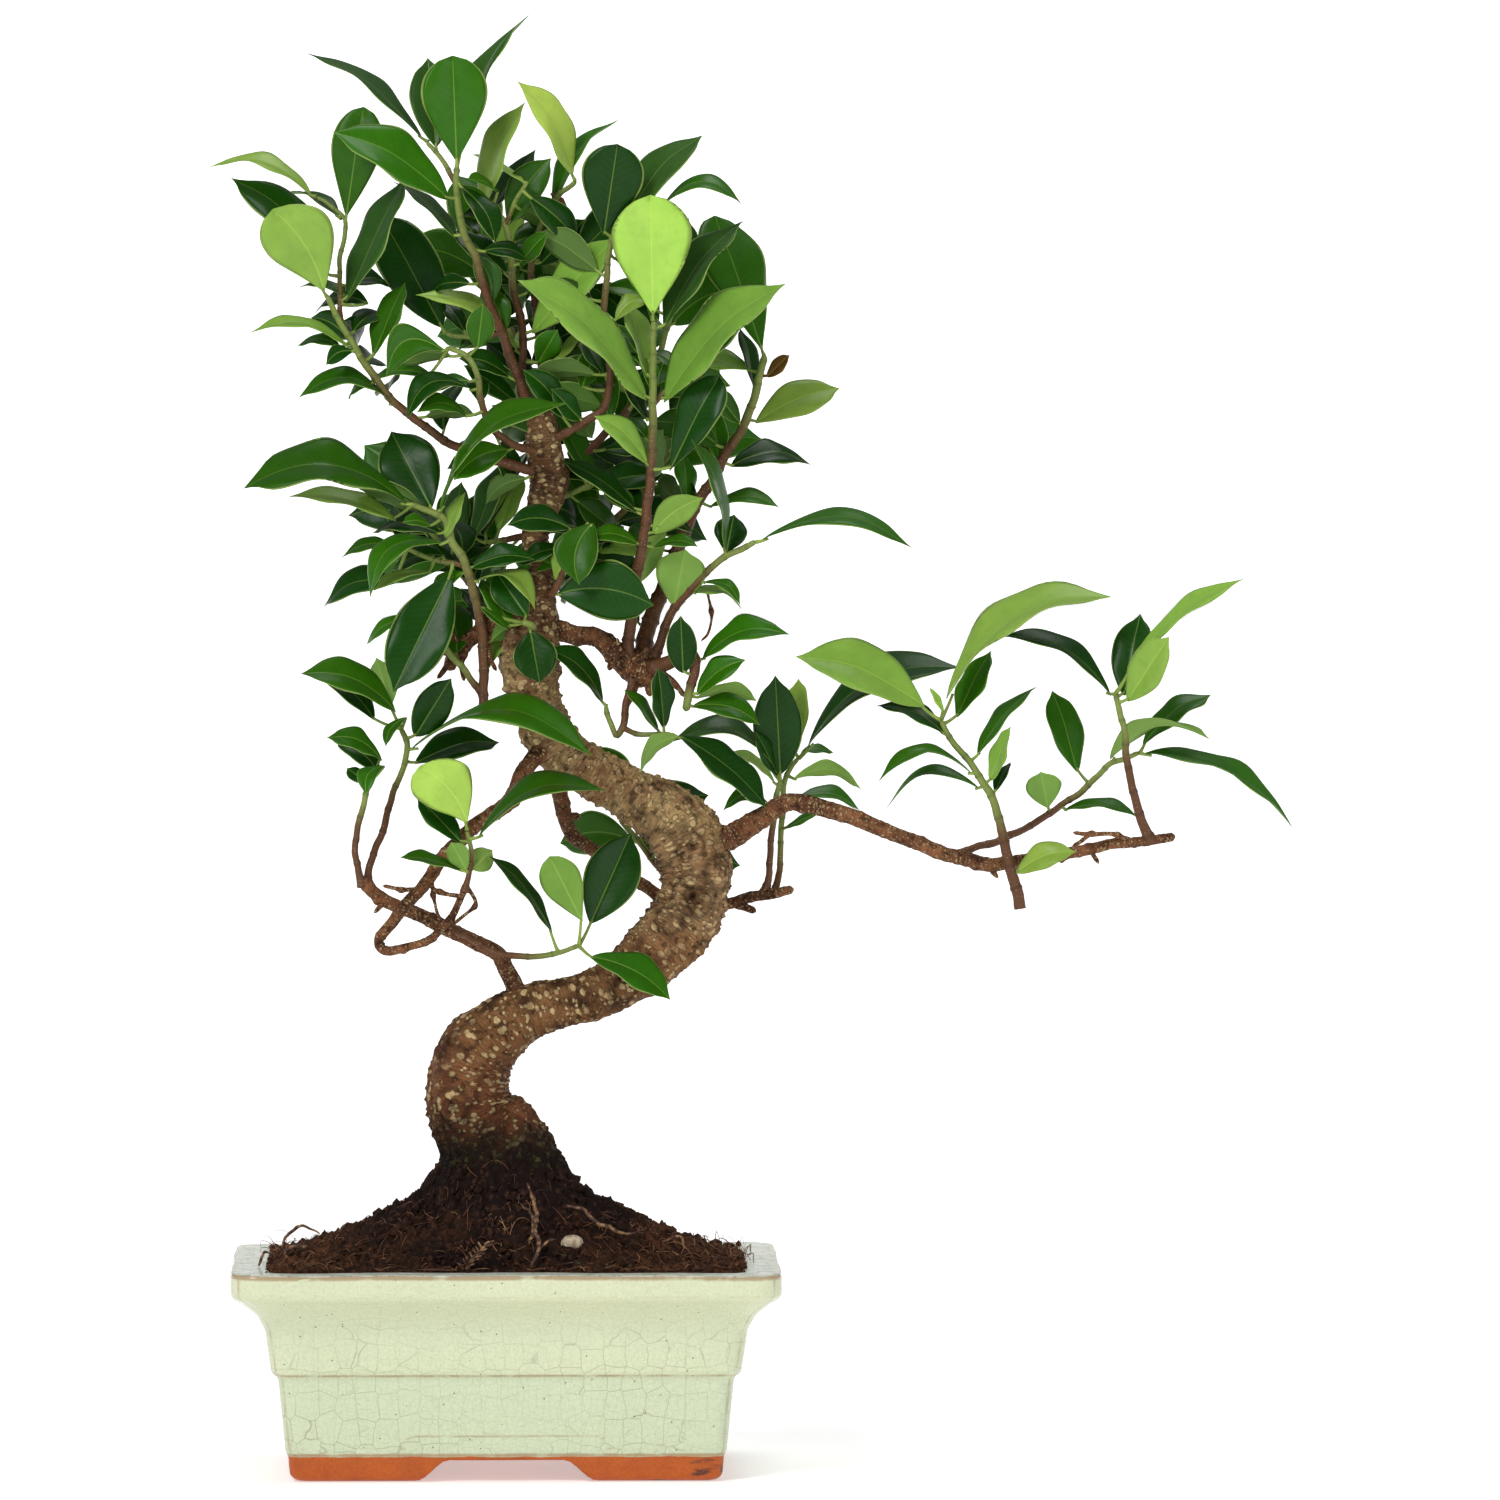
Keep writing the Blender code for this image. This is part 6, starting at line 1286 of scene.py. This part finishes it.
def leaf_sheets(place, row, tone, rng):
    """One leaf: its stalk as a thin limb, and its blade as a flattened closed tube.

    The blade's half width is sin(pi s^p)^q of the share s along it.  Its section is a shallow
    V whose sides curl back out, its edge waves, its tip draws out and bends away from the
    glossy face, and its thickness falls to a fine edge.
    """
    root, foot, tip, share = place
    seen, arch, under_side = row[4] / 1000 * share, row[6] / 1000 * share, row[7]
    if np.linalg.norm(foot - root) < 0.002:
        foot = root + (tip - root) / np.linalg.norm(tip - root) * 0.002
    length, width, across, face, up = leaf_frame(foot, tip, seen, under_side)
    broad = tone.isupper()
    s = np.linspace(0, 1, BLADE_LONG)[:, None]
    power, fullness = (1.75, 0.56) if broad else (rng.uniform(1.02, 1.22), rng.uniform(0.66, 0.82))
    half = 0.5 * width * np.sin(np.pi * s ** power).clip(0, 1) ** fullness
    if not broad:
        half = half * (1 - 0.50 * smooth(s, 0.84, 0.98)) + 0.0004 * (1 - s)
    half = half.clip(0.0002, None) * np.sqrt(((1 - s) / 0.02).clip(0.02, 1))
    top = np.linspace(-1, 1, BLADE_WIDE)
    t = np.r_[top, top[::-1][1:-1]]
    under = np.r_[np.zeros(BLADE_WIDE), np.ones(BLADE_WIDE - 2)]
    curl, fold, wave = rng.uniform(0.01, 0.09), rng.uniform(0.16, 0.34), rng.uniform(0.03, 0.11)
    phase, twist = rng.uniform(0, 2 * np.pi), rng.normal(0, 0.16)
    line = foot + (tip - foot) * s + up * arch * 4 * s * (1 - s)
    line = line - face * length * curl * (smooth(s, 0.35, 1.0) ** 2 + 0.10 * np.sin(2 * np.pi * s))
    turn = twist * (s - 0.3)
    wide = across * np.cos(turn) + face * np.sin(turn)
    rise = face * np.cos(turn) - across * np.sin(turn)
    notch = 0.05 * length * hump(t, 0.28) * smooth(s, 0.85, 1.0) * broad
    ripple = wave * np.sin(2 * np.pi * (2.1 * s + 0.12 * np.sign(t)) + phase) * t ** 4
    lift = half * (fold * np.abs(t) ** 1.2 - 0.14 * t ** 4 + ripple)
    midrib = hump(t * half, 0.0005) * (1 - s * 0.7)
    veins = np.sin(2 * np.pi * (s * length - np.abs(t) * half * 0.7) / VEIN_STEP) * np.abs(t) * (1 - t ** 6)
    thick = BLADE_THICK * np.sqrt(1 - t ** 2) * np.sin(np.pi * s.clip(0.03, 0.97)) ** 0.3
    skin = lift + np.where(under > 0, -thick - midrib * 0.00032,
                           thick - midrib * 0.00022 + veins * 0.00001)
    points = (line[:, None] + wide[:, None] * (half * t)[..., None] + rise[:, None] * skin[..., None]
              - ((tip - foot) / length) * notch[..., None])
    colour = np.array(TONES[tone.lower()]) * rng.uniform(0.82, 1.20) * rng.uniform(0.93, 1.07, 3)
    leaf = np.stack(np.broadcast_arrays(s, t, under), -1)
    size = np.stack(np.broadcast_arrays(half * 1000 + 0 * t, length * 1000, rng.uniform(0, 1)), -1)
    blade = (points, {"leaf": leaf, "size": size, "tone": flat_tone(points.shape, colour)}, 1, True, True)
    droop = np.array([0, 0, -0.06]) * np.linalg.norm(foot - root)
    t = np.linspace(0, 1, 7)[:, None]
    path = root + (foot + (tip - foot) * 0.04 - root) * t + droop * np.sin(np.pi * t)
    rows = np.hstack([path, 0.00062 + 0.00030 * (1 - t) ** 4 - 0.00010 * t])
    points, out, grain = limb(rows, 8)
    stalk_colour = TONES["x"] if tone in "xX" else np.array(STALK) * rng.uniform(0.7, 1.2)
    stalk_tone = flat_tone(points.shape, stalk_colour)
    stalk = (points, {"leaf": grain, "size": grain * 0, "tone": stalk_tone}, 0, True, True)
    return [stalk, blade]


def twig_sheets(lines, seed):
    """A shoot's twigs, ringed where leaves were, and turning from brown to green as they thin."""
    sheets = []
    for k, line in enumerate(lines):
        rows = bend(line, 0.0007)
        run = run_along(rows[:, :3])
        share = run / run[-1]
        green = smooth(share, 0.50, 0.85) if k == 0 else smooth(share, 0.05, 0.55)
        green = green * smooth(0.00185 - rows[:, 3], 0, 0.00040)
        knuckle = hump(np.sin(np.pi * (run / 0.0088 + 0.37 * seed + 0.2 * k)), 0.20)
        rows[:, 3] *= 1 + 0.16 * knuckle + 0.5 * hump(run, 0.0025) * (k == 0)
        rows[:, 3] *= np.sqrt(np.clip((run[-1] - run) / 0.0010, 0.05, 1))
        wander = np.stack([sines(rows[:, :3], 0.013, seed * 11 + i) for i in range(3)], -1)
        rows[:, :3] += wander * 0.00030 * smooth(run, 0.001, 0.006)[:, None]
        points, out, grain = limb(rows, 14)
        points = points + out * (sines(grain, 0.0035, seed + 5) * 0.04 * rows[:, None, 3])[..., None]
        green = green[:, None, None]
        tone = np.array(BROWN_WOOD) * (1 - green) + np.array(GREEN_WOOD) * green
        tone = tone * (1 - 0.35 * knuckle[:, None, None]) * np.ones(points.shape)
        sheets.append((points, {"leaf": grain, "size": grain * 0, "tone": tone}, 0, True, True))
    return sheets


# Shoots inside the crown, with how densely small leaves that the CAD leaves out line their twigs.
INNER = {"shoot_top_leader": 0.5, "shoot_top_centre": 1.0, "shoot_top_back": 1.1, "shoot_top_right": 0.7,
         "shoot_left_long": 0.5, "shoot_left_front": 0.6, "shoot_left_inner": 0.6, "shoot_inner": 1.2,
         "shoot_centre": 0.7, "shoot_right_upright": 0.45, "shoot_right_tall": 0.6, "shoot_back_left": 1.1,
         "shoot_back_right": 1.1, "shoot_back_top": 1.1, "shoot_back_crown": 1.1}


def inner_leaves(lines, density, rng, kept):
    """Small leaves for a shoot's twigs: at most one every few points, leaning back and up, inside the
    crown's oval.

    A try that comes within 5 mm of the points kept along other leaves is given up.
    """
    made = []
    for line in lines:
        rows = bend(line, 0.0008)
        for k in range(3, len(rows) - 2, max(int(8 / density), 4)):
            root = rows[k, :3]
            ahead = rows[k + 1, :3] - root
            ahead /= np.linalg.norm(ahead)
            for _ in range(14):
                way = rng.normal(size=3) * (1.0, 0.7, 0.7) + ahead * 0.4 + (0, 0.8, 0.15)
                way /= np.linalg.norm(way)
                length = rng.uniform(0.015, 0.029)
                foot = root + way * rng.uniform(0.003, 0.006)
                tip = foot + way * length
                x, z = tip[0] - pot_x - 0.006, tip[2] - 0.386
                if (x / 0.064) ** 2 + (z / 0.076) ** 2 > 1 or abs(tip[1] - pot_y) > 0.060:
                    continue
                midrib = foot + (tip - foot) * np.array([0.3, 0.6, 1.0])[:, None]
                if np.linalg.norm(np.array(kept)[:, None] - midrib, axis=-1).min() < 0.005:
                    continue
                kept.extend(midrib)
                row = (0, 0, 0, 0, length * 1000 * rng.uniform(0.25, 0.48), 0, rng.uniform(0, 3),
                       rng.random() < 0.15)
                made += leaf_sheets((root, foot, tip, 1.0), row, rng.choice(list("mmmddddlg")), rng)
                break
    return made


def twig_material():
    """Young bark: brown to green by tone, with small pale pores."""
    p = Paint("young_bark", 0.5, Specular_IOR_Level=0.25)
    grain, tone = p.attribute("leaf"), p.attribute("tone")
    colour = p.mix(p.noise(p.place, 260, 4), p.mix(0.45, tone, (0.02, 0.012, 0.006)), tone)
    spot = p.ramp(p.voronoi(p.scaled(grain, 1, 1, 1.6), 900), (0.0, 1.0), (0.16, 1.0), (0.24, 0.0))
    kept = p.math("GREATER_THAN", p.split(p.voronoi(p.scaled(grain, 1, 1, 1.6), 900, "Color"), 0), 0.6)
    spot = p.times(spot, kept)
    colour = p.mix(p.times(spot, 0.55), colour, (0.52, 0.42, 0.26))
    return p.done(colour, normal=p.bump(p.plus(spot, p.noise(p.place, 900)), 0.0003, 0.6))


def leaf_material():
    """A leathery leaf: glossy above with a pale midrib and edge, matte and paler below."""
    p = Paint("ficus_leaf", 0.3, Specular_IOR_Level=0.15)
    leaf, size, tone = p.attribute("leaf"), p.attribute("size"), p.attribute("tone")
    s, t, under = (p.split(leaf, i) for i in range(3))
    half, length, chance = (p.split(size, i) for i in range(3))
    t = p.math("ABSOLUTE", t)
    off = p.times(t, half)
    patch = p.node("VectorMath", settings={"operation": "ADD"}, i0=p.place,
                   i1=p.node("CombineXYZ", X=chance, Y=chance, Z=0.0))
    mottle = p.noise(patch, 95, 4)
    light = p.mix(1.0, tone, (1.9, 1.6, 1.8), "MULTIPLY")
    colour = p.mix(p.ramp(mottle, (0.40, 0.0), (0.70, 0.20)), tone, light)
    dull = p.ramp(p.noise(patch, 260, 3), (0.50, 0.0), (0.70, 0.18))
    colour = p.mix(dull, colour, p.mix(1.0, tone, (0.5, 0.55, 0.6), "MULTIPLY"))
    # Side veins leave the midrib at a slant and fade before the edge.
    run = p.minus(p.times(s, length), p.times(off, 0.7))
    ripple = p.math("SINE", p.times(run, 2.416))
    vein = p.times(p.ramp(ripple, (0.80, 0.0), (1.0, 1.0)), p.ramp(t, (0.05, 1.0), (0.92, 0.1)))
    colour = p.mix(p.times(vein, 0.035), colour, (0.22, 0.36, 0.06))
    rib_width = p.plus(p.times(s, -0.22), 0.38)
    rib = p.math("SUBTRACT", 1.0, p.math("DIVIDE", off, rib_width), clamp=True)
    rib = p.ramp(rib, (0.0, 0.0), (0.35, 1.0))
    colour = p.mix(p.times(rib, 0.55), colour, p.mix(0.45, light, (0.30, 0.44, 0.08)))
    rim = p.ramp(t, (0.925, 0.0), (0.965, 1.0))
    colour = p.mix(p.times(rim, 0.72), colour, (0.40, 0.54, 0.14))
    pale = p.mix(0.35, colour, (0.22, 0.36, 0.09))
    colour = p.mix(under, colour, pale)
    rough = p.mix(under, p.mix(mottle, (0.24,) * 3, (0.40,) * 3), (0.62,) * 3)
    height = p.minus(p.times(p.noise(patch, 420, 3), 0.5), p.times(vein, 0.08))
    return p.done(colour, rough, p.bump(height, 0.00022, 0.7))


twig_paint, leaf_paint = twig_material(), leaf_material()
places, kept = {}, []
for name, (_, lines, rows) in SHOOTS.items():
    corners = np.array([v.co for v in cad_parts[name].data.vertices])
    corners = (corners - (pot_x, pot_y, 0)) * 1000
    places[name] = [settled(corners, lines, row) for row in rows]
    for _, foot, tip, _ in places[name]:
        kept.extend(foot + (tip - foot) * np.linspace(0.1, 1, 6)[:, None])
for seed, (name, (tones, lines, rows)) in enumerate(SHOOTS.items(), 100):
    rng = np.random.default_rng(seed)
    sheets = twig_sheets(lines, seed)
    for place, tone, row in zip(places[name], tones, rows):
        sheets += leaf_sheets(place, row, tone, rng)
    if name in INNER:
        sheets += inner_leaves(lines, INNER[name], rng, kept)
    piece = join_sheets(name + "_leaves", sheets)
    piece.data.materials.append(twig_paint)
    piece.data.materials.append(leaf_paint)
    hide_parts(name)
    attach(piece, "root")

# ---- Studio: floor, light and camera ------------------------------------------------------
# A white paper floor that curls up at its far edge all round, and soft light from above.
quarter = np.pi / 2 * np.linspace(0, 1, 12)
floor_radius = np.r_[0.0, 0.5, np.linspace(1, 9, 9), 9 + 2 * np.sin(quarter)]
floor_z = np.r_[np.zeros(11), 2 - 2 * np.cos(quarter)] - 0.0002
turn = np.linspace(0, 2 * np.pi, 96, endpoint=False)
dish = np.stack([floor_radius[:, None] * np.cos(turn), floor_radius[:, None] * np.sin(turn),
                 np.repeat(floor_z[:, None], len(turn), 1)], -1)
paper = join_sheets("paper_floor", [(dish, {}, 0, True, False)])
p = Paint("white_paper", 0.9, Emission_Color=(1.0, 1.0, 1.0, 1.0))
paper.data.materials.append(p.done(p.mix(p.noise(p.place, 3), (0.86, 0.86, 0.86), (0.90, 0.90, 0.90))))
away = p.times(p.node("VectorMath", 1, {"operation": "LENGTH"}, i0=p.place), 0.1)
p.link(p.ramp(away, (0.08, 0.42), (0.30, 1.0)), p.shader.inputs["Emission Strength"])

world = bpy.data.worlds.new("studio")
world.use_nodes = True
world.node_tree.nodes["Background"].inputs["Color"].default_value = (1.0, 1.0, 1.0, 1)
world.node_tree.nodes["Background"].inputs["Strength"].default_value = 0.20
bpy.context.scene.world = world
LIT = Vector((pot_x + 0.05, 0, 0.25))
for name, place, size, power in (("key_light", (-1.5, -2.3, 2.4), 1.1, 66),
                                 ("fill_light", (2.2, -2.6, 1.0), 1.8, 17),
                                 ("top_light", (0.3, 0.5, 2.6), 1.3, 26)):
    light = bpy.data.lights.new(name, "AREA")
    light.size, light.energy = size, power
    lamp = linked(name, light)
    lamp.location = place
    lamp.rotation_euler = (LIT - lamp.location).to_track_quat("-Z", "Y").to_euler()

lens = bpy.data.cameras.new("camera")
lens.lens, lens.clip_end = 328.2, 50
camera = linked("camera", lens)
camera.location = (pot_x - 0.020, pot_y - 5.0, 0.495)
aim = Vector((pot_x + 0.0896, pot_y, 0.2635))
camera.rotation_euler = (aim - camera.location).to_track_quat("-Z", "Y").to_euler()
bpy.context.scene.camera = camera
bpy.context.scene.view_settings.view_transform = "Standard"
